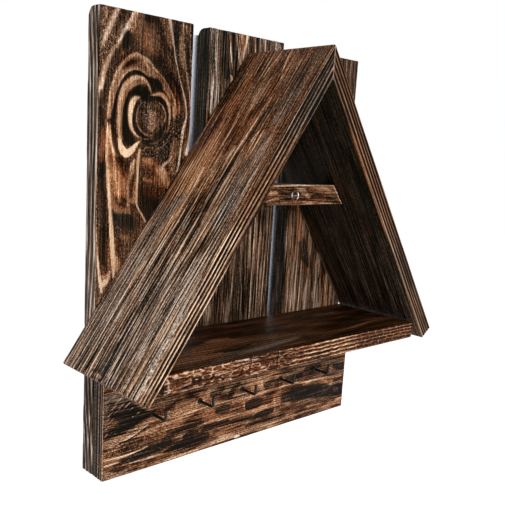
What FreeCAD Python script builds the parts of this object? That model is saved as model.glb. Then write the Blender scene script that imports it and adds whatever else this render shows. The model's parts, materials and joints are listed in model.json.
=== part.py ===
import FreeCAD, Part
import os
import Sketcher

# A wall key holder of brushed pine: three upright back boards, a key rail with five hooks,
# a shelf on the rail, and a steep mitred roof with a cross bar and a screw eye.
# The wall is the plane Y = 0 and the front faces -Y. X = 0 is the middle of the three boards,
# and Z = 0 is the height of the two keyhole hangers that the holder hangs from.

doc = FreeCAD.newDocument("wall_key_holder")
sheet = doc.addObject("Spreadsheet::Sheet", "dims")

SIZES = {
    # back boards, seen from the front
    "board_thickness": 18, "board_height": 416, "right_board_drop": 2.5,
    "board_width_left": 100, "board_width_centre": 100, "board_width_right": 101.5,
    "gap_left": 18, "gap_right": 22, "board_arris": 1.5, "board_back_round": 8,
    # rail across the foot of the boards, and the shelf that lies on it
    "rail_thickness": 18, "rail_height": 109.5, "rail_arris": 1.2,
    "shelf_thickness": 18, "shelf_depth": 107, "shelf_arris": 1.5,
    # roof: the ridge lies below the boards' top, and the panels run on past the shelf's top corners
    "roof_thickness": 18, "roof_depth": 112, "ridge_drop": 16, "ridge_offset": -2.75,
    "roof_overhang_left": 28.4, "roof_overhang_right": 24.4, "roof_arris": 1.2,
    # cross bar between the roof panels, its foot that far below the ridge
    "bar_height": 20.4, "bar_thickness": 18, "bar_front": 68, "bar_drop": 144.8, "bar_arris": 1,
    # angle hooks, screwed into the rail
    "hook_wire_radius": 1.4, "hook_reach": 20.3, "hook_rise": 11, "hook_bend": 2.6,
    "hook_collar_radius": 3, "hook_collar_thickness": 1.4, "hook_shank_radius": 1.5,
    "hook_shank_length": 13, "hook_tip_arris": 0.6, "hook_collar_arris": 0.5,
    "hook_pitch": 57.5, "hook_row_offset": -1.3, "hook_height": 56, "hook_row_rise": 1,
    # screw eye in the middle of the cross bar
    "eye_ring_radius": 4.1, "eye_wire_radius": 0.9, "eye_standoff": 8,
    "eye_shank_radius": 1.1, "eye_shank_length": 11,
    # wooden dowels in the ridge mitre and the ends of the cross bar
    "dowel_radius": 3, "dowel_length": 20, "dowel_edge": 28, "ridge_dowel_drop": 22.5,
    # countersunk wood screws, driven from the back
    "screw_clearance": 0.25, "screw_edge": 22, "screw_point": 3,
    "rail_screw_length": 30, "rail_screw_radius": 1.75, "rail_screw_head": 3.5,
    "rail_screw_low": 22, "rail_screw_high": 88,
    "frame_screw_length": 45, "frame_screw_radius": 2, "frame_screw_head": 4,
    # keyhole hangers, let in flush with the back of the outer boards
    "hanger_drop": 36, "hanger_spacing": 240, "hanger_radius": 8, "hanger_half_span": 14,
    "hanger_thickness": 1.5, "hanger_fit": 0.25, "keyhole_radius": 4.3, "keyhole_slot_radius": 2.2,
    "keyhole_travel": 8, "head_pocket_radius": 5.2, "head_pocket_depth": 8,
    "hanger_screw_length": 12, "hanger_screw_radius": 1.4, "hanger_screw_head": 2.7,
    "hanger_screw_drop": 12, "hanger_screw_lift": 16,
}

for row, (alias, value) in enumerate(SIZES.items(), start=1):
    sheet.set("A%d" % row, alias)
    sheet.set("B%d" % row, str(value))
    sheet.setAlias("B%d" % row, alias)
doc.recompute()

# Places that several pieces share, as expressions of the sheet's cells
TOTAL_WIDTH = ("(dims.board_width_left + dims.gap_left + dims.board_width_centre"
               " + dims.gap_right + dims.board_width_right)")
FOOT = "(dims.hanger_drop - dims.board_height)"
BOARD_LEFT = {
    "left": "(-%s / 2)" % TOTAL_WIDTH,
    "centre": "(-%s / 2 + dims.board_width_left + dims.gap_left)" % TOTAL_WIDTH,
    "right": "(%s / 2 - dims.board_width_right)" % TOTAL_WIDTH,
}
BOARD_RIGHT = {side: "(%s + dims.board_width_%s)" % (edge, side) for side, edge in BOARD_LEFT.items()}
SHELF_TOP = "(%s + dims.rail_height + dims.shelf_thickness)" % FOOT
RIDGE_X = "dims.ridge_offset"
RIDGE_Z = "(dims.hanger_drop - dims.ridge_drop)"
BAR_FOOT = "(%s - dims.bar_drop)" % RIDGE_Z
BAR_TOP = "(%s + dims.bar_height)" % BAR_FOOT
BAR_MIDDLE = "(%s + dims.bar_height / 2)" % BAR_FOOT
RAIL_FRONT = "(-dims.board_thickness - dims.rail_thickness)"
BAR_FRONT = "(-dims.board_thickness - dims.bar_front)"
SIGN = {"left": -1, "right": 1}

# The shelf ends flush with the outer boards, and each roof panel's inner face meets its top corner.
# So a panel's slope follows from the rise and run between that corner and the ridge.
RISE = "(%s - %s)" % (RIDGE_Z, SHELF_TOP)
RUN = {side: "(%s / 2 - %d * %s)" % (TOTAL_WIDTH, sign, RIDGE_X) for side, sign in SIGN.items()}
SLOPE = {side: "(atan2(%s; %s) - asin(dims.roof_thickness / hypot(%s; %s)))" % (RISE, run, RISE, run)
         for side, run in RUN.items()}
ROOF_LENGTH = {side: "(sqrt(%s ^ 2 + %s ^ 2 - dims.roof_thickness ^ 2) + dims.roof_overhang_%s)"
               % (RISE, run, side) for side, run in RUN.items()}


def roof_x(side, level, depth="0"):
    """Where a roof panel's face, depth below its outer face, stands at a given level."""
    slope = SLOPE[side]
    return "(%s + %d * ((%s - %s) / tan(%s) - %s / sin(%s)))" % (
        RIDGE_X, SIGN[side], RIDGE_Z, level, slope, depth, slope)


def roof_z(side, place, depth):
    """The level at which that face crosses a given X."""
    slope = SLOPE[side]
    return "(%s - %d * (%s - %s) * tan(%s) - %s / cos(%s))" % (
        RIDGE_Z, SIGN[side], place, RIDGE_X, slope, depth, slope)


def bind(thing, sizes):
    """Tie properties of an object to expressions."""
    for name, expression in sizes.items():
        thing.setExpression(name, str(expression))


def new_body(name):
    body = doc.addObject("PartDesign::Body", name)
    body.Label = name
    return body


def plane_of(body, role):
    return next(item for item in body.Origin.OriginFeatures if item.Role == role)


def new_sketch(body, name, role, forward="0"):
    """A sketch on one of the body's origin planes, moved forward along the plane's normal."""
    sketch = body.newObject("Sketcher::SketchObject", name)
    sketch.AttachmentSupport = [(plane_of(body, role), "")]
    sketch.MapMode = "FlatFace"
    bind(sketch, {"AttachmentOffset.Base.z": forward})
    return sketch


def hold_point(sketch, geometry, point, name, across, up):
    """Tie one point of a sketch to two expressions."""
    drawn = sketch.getPoint(geometry, point)
    for kind, place, value in (("DistanceX", across, drawn.x), ("DistanceY", up, drawn.y)):
        index = sketch.addConstraint(Sketcher.Constraint(kind, -1, 1, geometry, point, value))
        sketch.renameConstraint(index, "%s_%s" % (name, kind[-1]))
        sketch.setExpression("Constraints[%d]" % index, str(place))


def outline(sketch, corners):
    """A closed outline of straight lines through the given corners."""
    start = [(0, 0), (1, 0), (1, 1), (0, 1)]
    count = len(corners)
    for index in range(count):
        ends = [FreeCAD.Vector(*start[(index + step) % count], 0) for step in (0, 1)]
        sketch.addGeometry(Part.LineSegment(*ends), False)
    for index in range(count):
        sketch.addConstraint(Sketcher.Constraint("Coincident", index, 2, (index + 1) % count, 1))
    for index, (across, up) in enumerate(corners):
        hold_point(sketch, index, 1, "corner_%d" % index, across, up)


def disc(sketch, radius, across="0", up="0"):
    """A circle whose radius and centre are expressions."""
    sketch.addGeometry(Part.Circle(FreeCAD.Vector(0, 0, 0), FreeCAD.Vector(0, 0, 1), 1.0), False)
    hold_point(sketch, 0, 3, "centre", across, up)
    index = sketch.addConstraint(Sketcher.Constraint("Radius", 0, 1.0))
    sketch.setExpression("Constraints[%d]" % index, str(radius))


def pad(body, sketch, name, length, back=False):
    feature = body.newObject("PartDesign::Pad", name)
    feature.Profile = sketch
    feature.Reversed = back
    bind(feature, {"Length": length})
    return feature


def edge_feature(kind, size_name, body, base, name, size, wanted):
    """A fillet or chamfer on the base's edges for which wanted(edge) is true."""
    doc.recompute()
    edges = ["Edge%d" % (index + 1) for index, edge in enumerate(base.Shape.Edges) if wanted(edge)]
    feature = body.newObject("PartDesign::" + kind, name)
    feature.Base = (base, edges)
    bind(feature, {size_name: size})
    return feature


def round_edges(*args):
    return edge_feature("Fillet", "Radius", *args)


def bevel_edges(*args):
    return edge_feature("Chamfer", "Size", *args)


def plank(name, corners, start, thickness):
    """A board with its outline in the wall's plane, thickness deep, from start towards the front."""
    body = new_body(name + "_blank")
    sketch = new_sketch(body, name + "_outline", "XZ_Plane", start)
    outline(sketch, corners)
    return body, pad(body, sketch, name + "_sawn", thickness)


def runs_along(edge, axis):
    """True for a straight edge parallel to the axis."""
    direction = edge.tangentAt(edge.FirstParameter)
    return abs(abs(direction.dot(axis)) - 1) < 1e-6


def primitive(kind, name, sizes, place):
    """A Part solid with bound sizes, at a place given as three expressions."""
    solid = doc.addObject("Part::" + kind, name)
    bind(solid, sizes)
    bind(solid, {"Placement.Base." + axis: value for axis, value in zip("xyz", place)})
    return solid


def turned(kind, name, sizes, place):
    """A round solid whose own +Z points forward, along -Y."""
    solid = primitive(kind, name, sizes, place)
    solid.Placement.Rotation = FreeCAD.Rotation(FreeCAD.Vector(1, 0, 0), 90)
    return solid


def joined(name, solids):
    whole = doc.addObject("Part::MultiFuse", name)
    whole.Shapes = solids
    return whole


def grouped(name, solids):
    group = doc.addObject("Part::Compound", name)
    group.Links = solids
    group.Label = name
    return group


def cut(name, base, tools):
    """The base less every tool, as the finished sub-part."""
    piece = doc.addObject("Part::Cut", name)
    piece.Base = base
    piece.Tool = grouped(name + "_cuts", tools)
    piece.Label = name
    return piece


def forward(*distances):
    """The Y of something that lies the given distances in front of the wall."""
    return "(-(%s))" % " + ".join(distances)


# Countersunk screws

def screw(name, size, across, up, start="0", through="dims.board_thickness"):
    """One screw with its head flush at start, and the hole that it needs: a free hole through the
    first piece and a tight one beyond it."""
    length, radius, head = ("dims.%s_%s" % (size, part) for part in ("length", "radius", "head"))
    countersink = "(%s - %s)" % (head, radius)
    shank_end = "(%s - dims.screw_point)" % length
    solids = [
        turned("Cone", name + "_head", {"Radius1": head, "Radius2": radius, "Height": countersink},
               (across, forward(start), up)),
        turned("Cylinder", name + "_shank", {"Radius": radius, "Height": shank_end},
               (across, forward(start), up)),
        turned("Cone", name + "_point", {"Radius1": radius, "Radius2": "%s / 2" % radius,
                                         "Height": "dims.screw_point"},
               (across, forward(start, shank_end), up)),
    ]
    whole = joined(name, solids)
    free = turned("Cylinder", name + "_free", {"Radius": "%s + dims.screw_clearance" % radius,
                                               "Height": through}, (across, forward(start), up))
    return whole, joined(name + "_hole", [whole, free])


def screw_set(name, size, places, **seat):
    """All screws of one size as one group, and the group of their holes."""
    made = [screw("%s_%d" % (name, index), size, across, up, **seat)
            for index, (across, up) in enumerate(places, start=1)]
    return grouped(name, [whole for whole, hole in made]), [hole for whole, hole in made]


def rail_screw_places():
    for side in BOARD_LEFT:
        inner = ("(%s + dims.screw_edge)" % BOARD_LEFT[side], "(%s - dims.screw_edge)" % BOARD_RIGHT[side])
        for across, level in zip(inner, ("dims.rail_screw_low", "dims.rail_screw_high")):
            yield across, "(%s + %s)" % (FOOT, level)


def frame_screw_places():
    """One screw per board into the shelf, and two into the back edge of each roof panel."""
    for side in BOARD_LEFT:
        yield ("(%s + dims.board_width_%s / 2)" % (BOARD_LEFT[side], side),
               "(%s - dims.shelf_thickness / 2)" % SHELF_TOP)
    roof = {
        "left": (BOARD_LEFT["left"] + " + dims.screw_edge", BOARD_LEFT["centre"] + " + dims.screw_edge"),
        "right": (BOARD_RIGHT["centre"] + " - dims.screw_edge", BOARD_RIGHT["right"] + " - dims.screw_edge"),
    }
    for side, places in roof.items():
        for across in places:
            yield across, roof_z(side, "(%s)" % across, "dims.roof_thickness / 2")


rail_screws, rail_screw_holes = screw_set("rail_screws", "rail_screw", rail_screw_places())
frame_screws, frame_screw_holes = screw_set("frame_screws", "frame_screw", frame_screw_places())


# Keyhole hangers

def slot(name, across, low, high, radius, start, depth):
    """An upright slot with round ends, from start in front of the wall, depth deep."""
    ends = [turned("Cylinder", "%s_%s" % (name, end), {"Radius": radius, "Height": depth},
                   (across, forward(start), level)) for end, level in (("low", low), ("high", high))]
    middle = primitive("Box", name + "_middle",
                       {"Length": "2 * %s" % radius, "Width": depth, "Height": "%s - %s" % (high, low)},
                       ("%s - %s" % (across, radius), forward(start, depth), low))
    return joined(name, ends + [middle])


def hanger(side):
    """A keyhole plate with round ends, and the recess and head pocket in the board behind it."""
    across = "(%d * dims.hanger_spacing / 2)" % SIGN[side]
    name = "hanger_plate_" + side
    low, high = "(-dims.hanger_half_span + dims.keyhole_travel / 2)", \
        "(dims.hanger_half_span + dims.keyhole_travel / 2)"
    blank = slot(name + "_blank", across, low, high, "dims.hanger_radius", "0", "dims.hanger_thickness")
    recess = slot(name + "_recess", across, low, high, "(dims.hanger_radius + dims.hanger_fit)", "0",
                  "dims.hanger_thickness")
    pocket = slot(name + "_pocket", across, "(0)", "dims.keyhole_travel", "dims.head_pocket_radius",
                  "dims.hanger_thickness", "dims.head_pocket_depth")
    entry = turned("Cylinder", name + "_entry",
                   {"Radius": "dims.keyhole_radius", "Height": "dims.hanger_thickness"}, (across, "0", "0"))
    neck = slot(name + "_neck", across, "(0)", "dims.keyhole_travel", "dims.keyhole_slot_radius", "0",
                "dims.hanger_thickness")
    keyhole = joined(name + "_keyhole", [entry, neck])
    places = [(across, "(-dims.hanger_screw_drop)"), (across, "(dims.hanger_screw_lift)")]
    screws = [screw("hanger_screw_%s_%d" % (side, index), "hanger_screw", *place,
                    through="dims.hanger_thickness") for index, place in enumerate(places, start=1)]
    holes = [hole for whole, hole in screws]
    plate = cut(name, blank, [keyhole] + holes)
    return plate, [whole for whole, hole in screws], [recess, pocket] + holes


plates, hanger_screw_list, hanger_cuts = {}, [], {}
for side in SIGN:
    plates[side], screws_here, hanger_cuts[side] = hanger(side)
    hanger_screw_list += screws_here
hanger_screws = grouped("hanger_screws", hanger_screw_list)


# Dowels, all one size, glued in holes of their own size

def dowel(name, across, front, up):
    place = ("%s - dims.dowel_length / 2" % across, front, up)
    solid = primitive("Cylinder", name, {"Radius": "dims.dowel_radius", "Height": "dims.dowel_length"}, place)
    solid.Placement.Rotation = FreeCAD.Rotation(FreeCAD.Vector(0, 1, 0), 90)
    return solid


bar_axis = forward("dims.board_thickness", "dims.bar_front", "-dims.bar_thickness / 2")
ridge_dowel_fronts = (forward("dims.board_thickness", "dims.dowel_edge"),
                      forward("dims.board_thickness", "dims.roof_depth", "-dims.dowel_edge"))
dowel_list = [dowel("ridge_dowel_%d" % index, RIDGE_X, front, "%s - dims.ridge_dowel_drop" % RIDGE_Z)
              for index, front in enumerate(ridge_dowel_fronts, start=1)]
dowel_list += [dowel("bar_dowel_" + side, roof_x(side, BAR_MIDDLE, "dims.roof_thickness"), bar_axis, BAR_MIDDLE)
               for side in SIGN]
dowels = grouped("dowels", dowel_list)


# Angle hooks with a round collar

def hook_place(index):
    step = index - 2
    return ("(dims.hook_row_offset + %d * dims.hook_pitch)" % step,
            RAIL_FRONT, "(%s + dims.hook_height + %d * dims.hook_row_rise)" % (FOOT, step))


def hook(index):
    name = "key_hook_%d" % (index + 1)
    body = new_body(name)
    bind(body, {"Placement.Base." + axis: value for axis, value in zip("xyz", hook_place(index))})
    path = new_sketch(body, name + "_path", "YZ_Plane")
    bend_centre = FreeCAD.Vector(-8, 2, 0)
    path.addGeometry(Part.LineSegment(FreeCAD.Vector(0, 0, 0), FreeCAD.Vector(-8, 0, 0)), False)
    quarter = Part.ArcOfCircle(Part.Circle(bend_centre, FreeCAD.Vector(0, 0, 1), 2), 3.141593, 4.712389)
    path.addGeometry(quarter, False)
    path.addGeometry(Part.LineSegment(FreeCAD.Vector(-10, 2, 0), FreeCAD.Vector(-10, 9, 0)), False)
    path.addConstraint(Sketcher.Constraint("Coincident", 0, 1, -1, 1))
    path.addConstraint(Sketcher.Constraint("Tangent", 0, 2, 1, 2))
    path.addConstraint(Sketcher.Constraint("Coincident", 1, 1, 2, 1))
    hold_point(path, 0, 2, "arm_end", "-dims.hook_reach + dims.hook_bend", "0")
    hold_point(path, 2, 1, "leg_foot", "-dims.hook_reach", "dims.hook_bend")
    hold_point(path, 2, 2, "leg_top", "-dims.hook_reach", "dims.hook_rise")
    section = new_sketch(body, name + "_section", "XZ_Plane")
    disc(section, "dims.hook_wire_radius")
    wire = body.newObject("PartDesign::AdditivePipe", name + "_wire")
    wire.Profile = section
    wire.Spine = (path, ["Edge1", "Edge2", "Edge3"])
    doc.recompute()
    bevel_edges(body, wire, name + "_tip", "dims.hook_tip_arris",
                lambda edge: edge.BoundBox.ZMin > sheet.hook_rise - 1e-4)
    collar_sketch = new_sketch(body, name + "_collar_outline", "XZ_Plane")
    disc(collar_sketch, "dims.hook_collar_radius")
    pad(body, collar_sketch, name + "_collar", "dims.hook_collar_thickness")
    shank_sketch = new_sketch(body, name + "_shank_outline", "XZ_Plane")
    disc(shank_sketch, "dims.hook_shank_radius")
    shank = pad(body, shank_sketch, name + "_shank", "dims.hook_shank_length", back=True)
    body.Tip = bevel_edges(body, shank, name + "_collar_edge", "dims.hook_collar_arris", collar_rim)
    hole = turned("Cylinder", name + "_hole",
                  {"Radius": "dims.hook_shank_radius", "Height": "dims.hook_shank_length"}, hook_place(index))
    bind(hole, {"Placement.Base.y": "%s + dims.hook_shank_length" % RAIL_FRONT})
    return body, hole


def collar_rim(edge):
    """The collar's front edge, the only circle of its radius that stands off the rail."""
    if not isinstance(edge.Curve, Part.Circle):
        return False
    wide = abs(edge.Curve.Radius - sheet.hook_collar_radius) < 1e-4
    return wide and edge.BoundBox.YMax < -sheet.hook_collar_thickness / 2


hooks_and_holes = [hook(index) for index in range(5)]


# Screw eye, a ring that stands upright on its shank

def screw_eye():
    body = new_body("screw_eye")
    place = (RIDGE_X, BAR_FRONT, BAR_MIDDLE)
    bind(body, {"Placement.Base." + axis: value for axis, value in zip("xyz", place)})
    ring = body.newObject("PartDesign::AdditiveTorus", "screw_eye_ring")
    ring.AttachmentSupport = [(plane_of(body, "YZ_Plane"), "")]
    ring.MapMode = "FlatFace"
    bind(ring, {"AttachmentOffset.Base.x": "-dims.eye_standoff", "Radius1": "dims.eye_ring_radius",
                "Radius2": "dims.eye_wire_radius"})
    out_sketch = new_sketch(body, "screw_eye_stem_outline", "XZ_Plane")
    disc(out_sketch, "dims.eye_shank_radius")
    pad(body, out_sketch, "screw_eye_stem", "dims.eye_standoff - dims.eye_ring_radius")
    in_sketch = new_sketch(body, "screw_eye_shank_outline", "XZ_Plane")
    disc(in_sketch, "dims.eye_shank_radius")
    body.Tip = pad(body, in_sketch, "screw_eye_shank", "dims.eye_shank_length", back=True)
    hole = turned("Cylinder", "screw_eye_hole",
                  {"Radius": "dims.eye_shank_radius", "Height": "dims.eye_shank_length"}, place)
    bind(hole, {"Placement.Base.y": "%s + dims.eye_shank_length" % BAR_FRONT})
    return body, hole


eye, eye_hole = screw_eye()


# Wooden pieces

def top_back_edge(edge):
    """The one edge that lies in the wall's plane above the hangers."""
    return edge.BoundBox.YMin > -1e-4 and edge.BoundBox.ZMin > 0


def sharp_edge(edge):
    """True for an edge that doesn't run out of the round at the back of a board's top."""
    ends = edge.BoundBox
    on_round = ends.YMax > -sheet.board_back_round - 1e-4 and ends.ZMin > sheet.hanger_drop / 2
    return not on_round

def back_board(side):
    """A board whose top edge is worn round at the back."""
    name = "back_board_" + side
    top = "(%s + dims.board_height%s)" % (FOOT, " - dims.right_board_drop" if side == "right" else "")
    left, right = BOARD_LEFT[side], BOARD_RIGHT[side]
    body, sawn = plank(name, [(left, FOOT), (right, FOOT), (right, top), (left, top)],
                       "0", "dims.board_thickness")
    worn = round_edges(body, sawn, name + "_worn", "dims.board_back_round", top_back_edge)
    body.Tip = bevel_edges(body, worn, name + "_eased", "dims.board_arris", sharp_edge)
    return cut(name, body, rail_screw_holes + frame_screw_holes + hanger_cuts.get(side, []))


def key_rail():
    left, right = BOARD_LEFT["left"], BOARD_RIGHT["right"]
    top = "(%s + dims.rail_height)" % FOOT
    body, sawn = plank("key_rail", [(left, FOOT), (right, FOOT), (right, top), (left, top)],
                       "dims.board_thickness", "dims.rail_thickness")
    body.Tip = bevel_edges(body, sawn, "key_rail_eased", "dims.rail_arris", lambda edge: True)
    return cut("key_rail", body, rail_screw_holes + [hole for body, hole in hooks_and_holes])


def shelf():
    """The shelf's ends are square and flush with the outer boards."""
    left, right = BOARD_LEFT["left"], BOARD_RIGHT["right"]
    under = "(%s - dims.shelf_thickness)" % SHELF_TOP
    corners = [(left, under), (right, under), (right, SHELF_TOP), (left, SHELF_TOP)]
    body, sawn = plank("shelf", corners, "dims.board_thickness", "dims.shelf_depth")
    body.Tip = bevel_edges(body, sawn, "shelf_eased", "dims.shelf_arris",
                           lambda edge: runs_along(edge, FreeCAD.Vector(1, 0, 0)))
    return cut("shelf", body, frame_screw_holes)


def roof_panel(side):
    """A panel that runs down from the ridge mitre to a square-cut foot."""
    sign, slope, length = SIGN[side], SLOPE[side], ROOF_LENGTH[side]
    foot_x = "(%s + %d * %s * cos(%s))" % (RIDGE_X, sign, length, slope)
    foot_z = "(%s - %s * sin(%s))" % (RIDGE_Z, length, slope)
    inner_foot = ("(%s - %d * dims.roof_thickness * sin(%s))" % (foot_x, sign, slope),
                  "(%s - dims.roof_thickness * cos(%s))" % (foot_z, slope))
    shift = "dims.roof_thickness * (1 / cos({left}) - 1 / cos({right})) / (tan({left}) + tan({right}))"
    shift = shift.format(**SLOPE)
    inner_x = "(%s + %s)" % (RIDGE_X, shift)
    inner_ridge = (inner_x, roof_z(side, inner_x, "dims.roof_thickness"))
    name = "roof_panel_" + side
    body, sawn = plank(name, [(RIDGE_X, RIDGE_Z), (foot_x, foot_z), inner_foot, inner_ridge],
                       "dims.board_thickness", "dims.roof_depth")
    reach = abs(sheet.roof_thickness)

    def off_mitre(edge):
        """True for an edge that doesn't lie in the mitre's face."""
        return any(abs(vertex.X - sheet.ridge_offset) > reach / 2 for vertex in edge.Vertexes)

    body.Tip = bevel_edges(body, sawn, name + "_eased", "dims.roof_arris", off_mitre)
    return cut(name, body, frame_screw_holes + dowel_list)


def cross_bar():
    """A slat whose ends follow the slopes of the roof."""
    corners = [(roof_x(side, level, "dims.roof_thickness"), level)
               for side, level in (("left", BAR_FOOT), ("right", BAR_FOOT), ("right", BAR_TOP),
                                   ("left", BAR_TOP))]
    body, sawn = plank("cross_bar", corners, "(dims.board_thickness + dims.bar_front - dims.bar_thickness)",
                       "dims.bar_thickness")
    body.Tip = bevel_edges(body, sawn, "cross_bar_eased", "dims.bar_arris",
                           lambda edge: runs_along(edge, FreeCAD.Vector(1, 0, 0)))
    return cut("cross_bar", body, dowel_list + [eye_hole])


pieces = [back_board(side) for side in BOARD_LEFT]
pieces += [key_rail(), shelf(), roof_panel("left"), roof_panel("right"), cross_bar()]
pieces += [body for body, hole in hooks_and_holes]
pieces += [eye, plates["left"], plates["right"], hanger_screws, rail_screws, frame_screws, dowels]
doc.recompute()

for item in doc.Objects:
    if {"Invalid", "Error"} & set(item.State):
        raise RuntimeError("%s is in state %s" % (item.Name, item.State))
for piece in pieces:
    if piece.Shape.isNull() or not piece.Shape.isValid() or not piece.Shape.Solids:
        raise RuntimeError("%s has no valid solid" % piece.Label)

os.makedirs("parts", exist_ok=True)
for piece in pieces:
    piece.Shape.exportStep("parts/%s.step" % piece.Label)
    print("%-20s %2d solids %12.1f mm3" % (piece.Label, len(piece.Shape.Solids), piece.Shape.Volume))
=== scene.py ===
import json
import math

import bpy
import numpy as np
from mathutils import Matrix, Vector


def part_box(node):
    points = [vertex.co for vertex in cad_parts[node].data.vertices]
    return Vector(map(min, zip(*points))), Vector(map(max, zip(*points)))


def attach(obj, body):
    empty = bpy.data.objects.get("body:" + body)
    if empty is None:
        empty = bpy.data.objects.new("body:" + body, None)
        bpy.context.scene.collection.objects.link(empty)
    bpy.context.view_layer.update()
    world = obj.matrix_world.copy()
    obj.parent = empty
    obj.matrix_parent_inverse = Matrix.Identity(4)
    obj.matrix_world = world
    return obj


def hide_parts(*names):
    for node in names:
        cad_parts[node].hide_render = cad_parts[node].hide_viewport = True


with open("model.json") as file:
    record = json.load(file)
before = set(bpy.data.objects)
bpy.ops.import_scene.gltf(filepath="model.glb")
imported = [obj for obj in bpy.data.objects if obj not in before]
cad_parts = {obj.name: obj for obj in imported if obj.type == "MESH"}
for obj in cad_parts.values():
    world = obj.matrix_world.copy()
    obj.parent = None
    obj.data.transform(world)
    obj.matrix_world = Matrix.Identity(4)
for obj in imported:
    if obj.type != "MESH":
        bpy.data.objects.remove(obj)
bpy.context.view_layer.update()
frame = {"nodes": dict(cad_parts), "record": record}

# The looks of a wall key holder of burnt and brushed pine. Blender's unit is the metre; the planks
# are built in millimetres, each in its own grain coordinates: s along the grain, t across its
# face, and d down from that face into the wood.

MM = 0.001


# Camera, as solved from the photograph's straight edges

PHOTO_SIZE = (505, 525)
PHOTO_CENTRE = (237.71, 280.0)
FOCAL_PIXELS = 680.7
SENSOR = 36.0
CAMERA_PLACE = np.array([-476.5, -535.08, -79.41])
YAW, PITCH, ROLL = (math.radians(angle) for angle in (42.664, -10.46, 3.161))

look = np.array([math.sin(YAW) * math.cos(PITCH), math.cos(YAW) * math.cos(PITCH), math.sin(PITCH)])
level_right = np.array([math.cos(YAW), -math.sin(YAW), 0.0])
level_up = np.cross(level_right, look)
CAMERA_RIGHT = level_right * math.cos(ROLL) + level_up * math.sin(ROLL)
CAMERA_UP = level_up * math.cos(ROLL) - level_right * math.sin(ROLL)


def make_camera():
    data = bpy.data.cameras.new("camera")
    camera = bpy.data.objects.new("camera", data)
    bpy.context.scene.collection.objects.link(camera)
    turn = Matrix([list(row) for row in zip(CAMERA_RIGHT, CAMERA_UP, -look)])
    camera.matrix_world = Matrix.Translation(Vector(CAMERA_PLACE * MM)) @ turn.to_4x4()
    wide, high = PHOTO_SIZE
    data.sensor_fit = "AUTO"
    data.sensor_width = SENSOR
    data.lens = FOCAL_PIXELS * SENSOR / high
    data.shift_x = (wide / 2 - PHOTO_CENTRE[0]) / high
    data.shift_y = (PHOTO_CENTRE[1] - high / 2) / high
    data.clip_start = 0.01
    bpy.context.scene.camera = camera


def pixel_rays(pixels):
    """Directions from the camera through pixels of the photograph."""
    right, down = ((np.asarray(pixels, float)[:, :2] - PHOTO_CENTRE) / FOCAL_PIXELS).T
    return look + right[:, None] * CAMERA_RIGHT - down[:, None] * CAMERA_UP


# Noise: smooth random values from 0 to 1, the same on every run

def cell_values(seed, cells):
    """One value for each whole cell, mixed from its coordinates."""
    mixed = np.full(cells[0].shape, seed * 374761393 + 1013904223, np.uint64)
    for factor, cell in zip((668265263, 2246822519, 3266489917), cells):
        mixed = (mixed + cell.astype(np.int64).astype(np.uint64) * np.uint64(factor)) & np.uint64(0xFFFFFFFF)
        mixed = ((mixed ^ (mixed >> np.uint64(13))) * np.uint64(1274126177)) & np.uint64(0xFFFFFFFF)
    return (mixed ^ (mixed >> np.uint64(16))) / 4294967296.0


def noise(seed, *places):
    """Value noise at places given in cells, in one to three dimensions."""
    whole = [np.floor(place) for place in places]
    parts = [place - floor for place, floor in zip(places, whole)]
    parts = [part * part * (3 - 2 * part) for part in parts]
    total = 0.0
    for corner in range(2 ** len(places)):
        steps = [corner >> axis & 1 for axis in range(len(places))]
        weight = 1.0
        for step, part in zip(steps, parts):
            weight = weight * (part if step else 1 - part)
        total = total + weight * cell_values(seed, [floor + step for floor, step in zip(whole, steps)])
    return total


def ramp(value, low, high):
    """0 below low, 1 above high, smooth between; low may be the larger."""
    part = np.clip((value - low) / (high - low), 0, 1)
    return part * part * (3 - 2 * part)


# Planks

FIELDS = ("ring", "tone", "warm", "line", "fibre", "speck")
DEEPEST = 1.6


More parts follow.
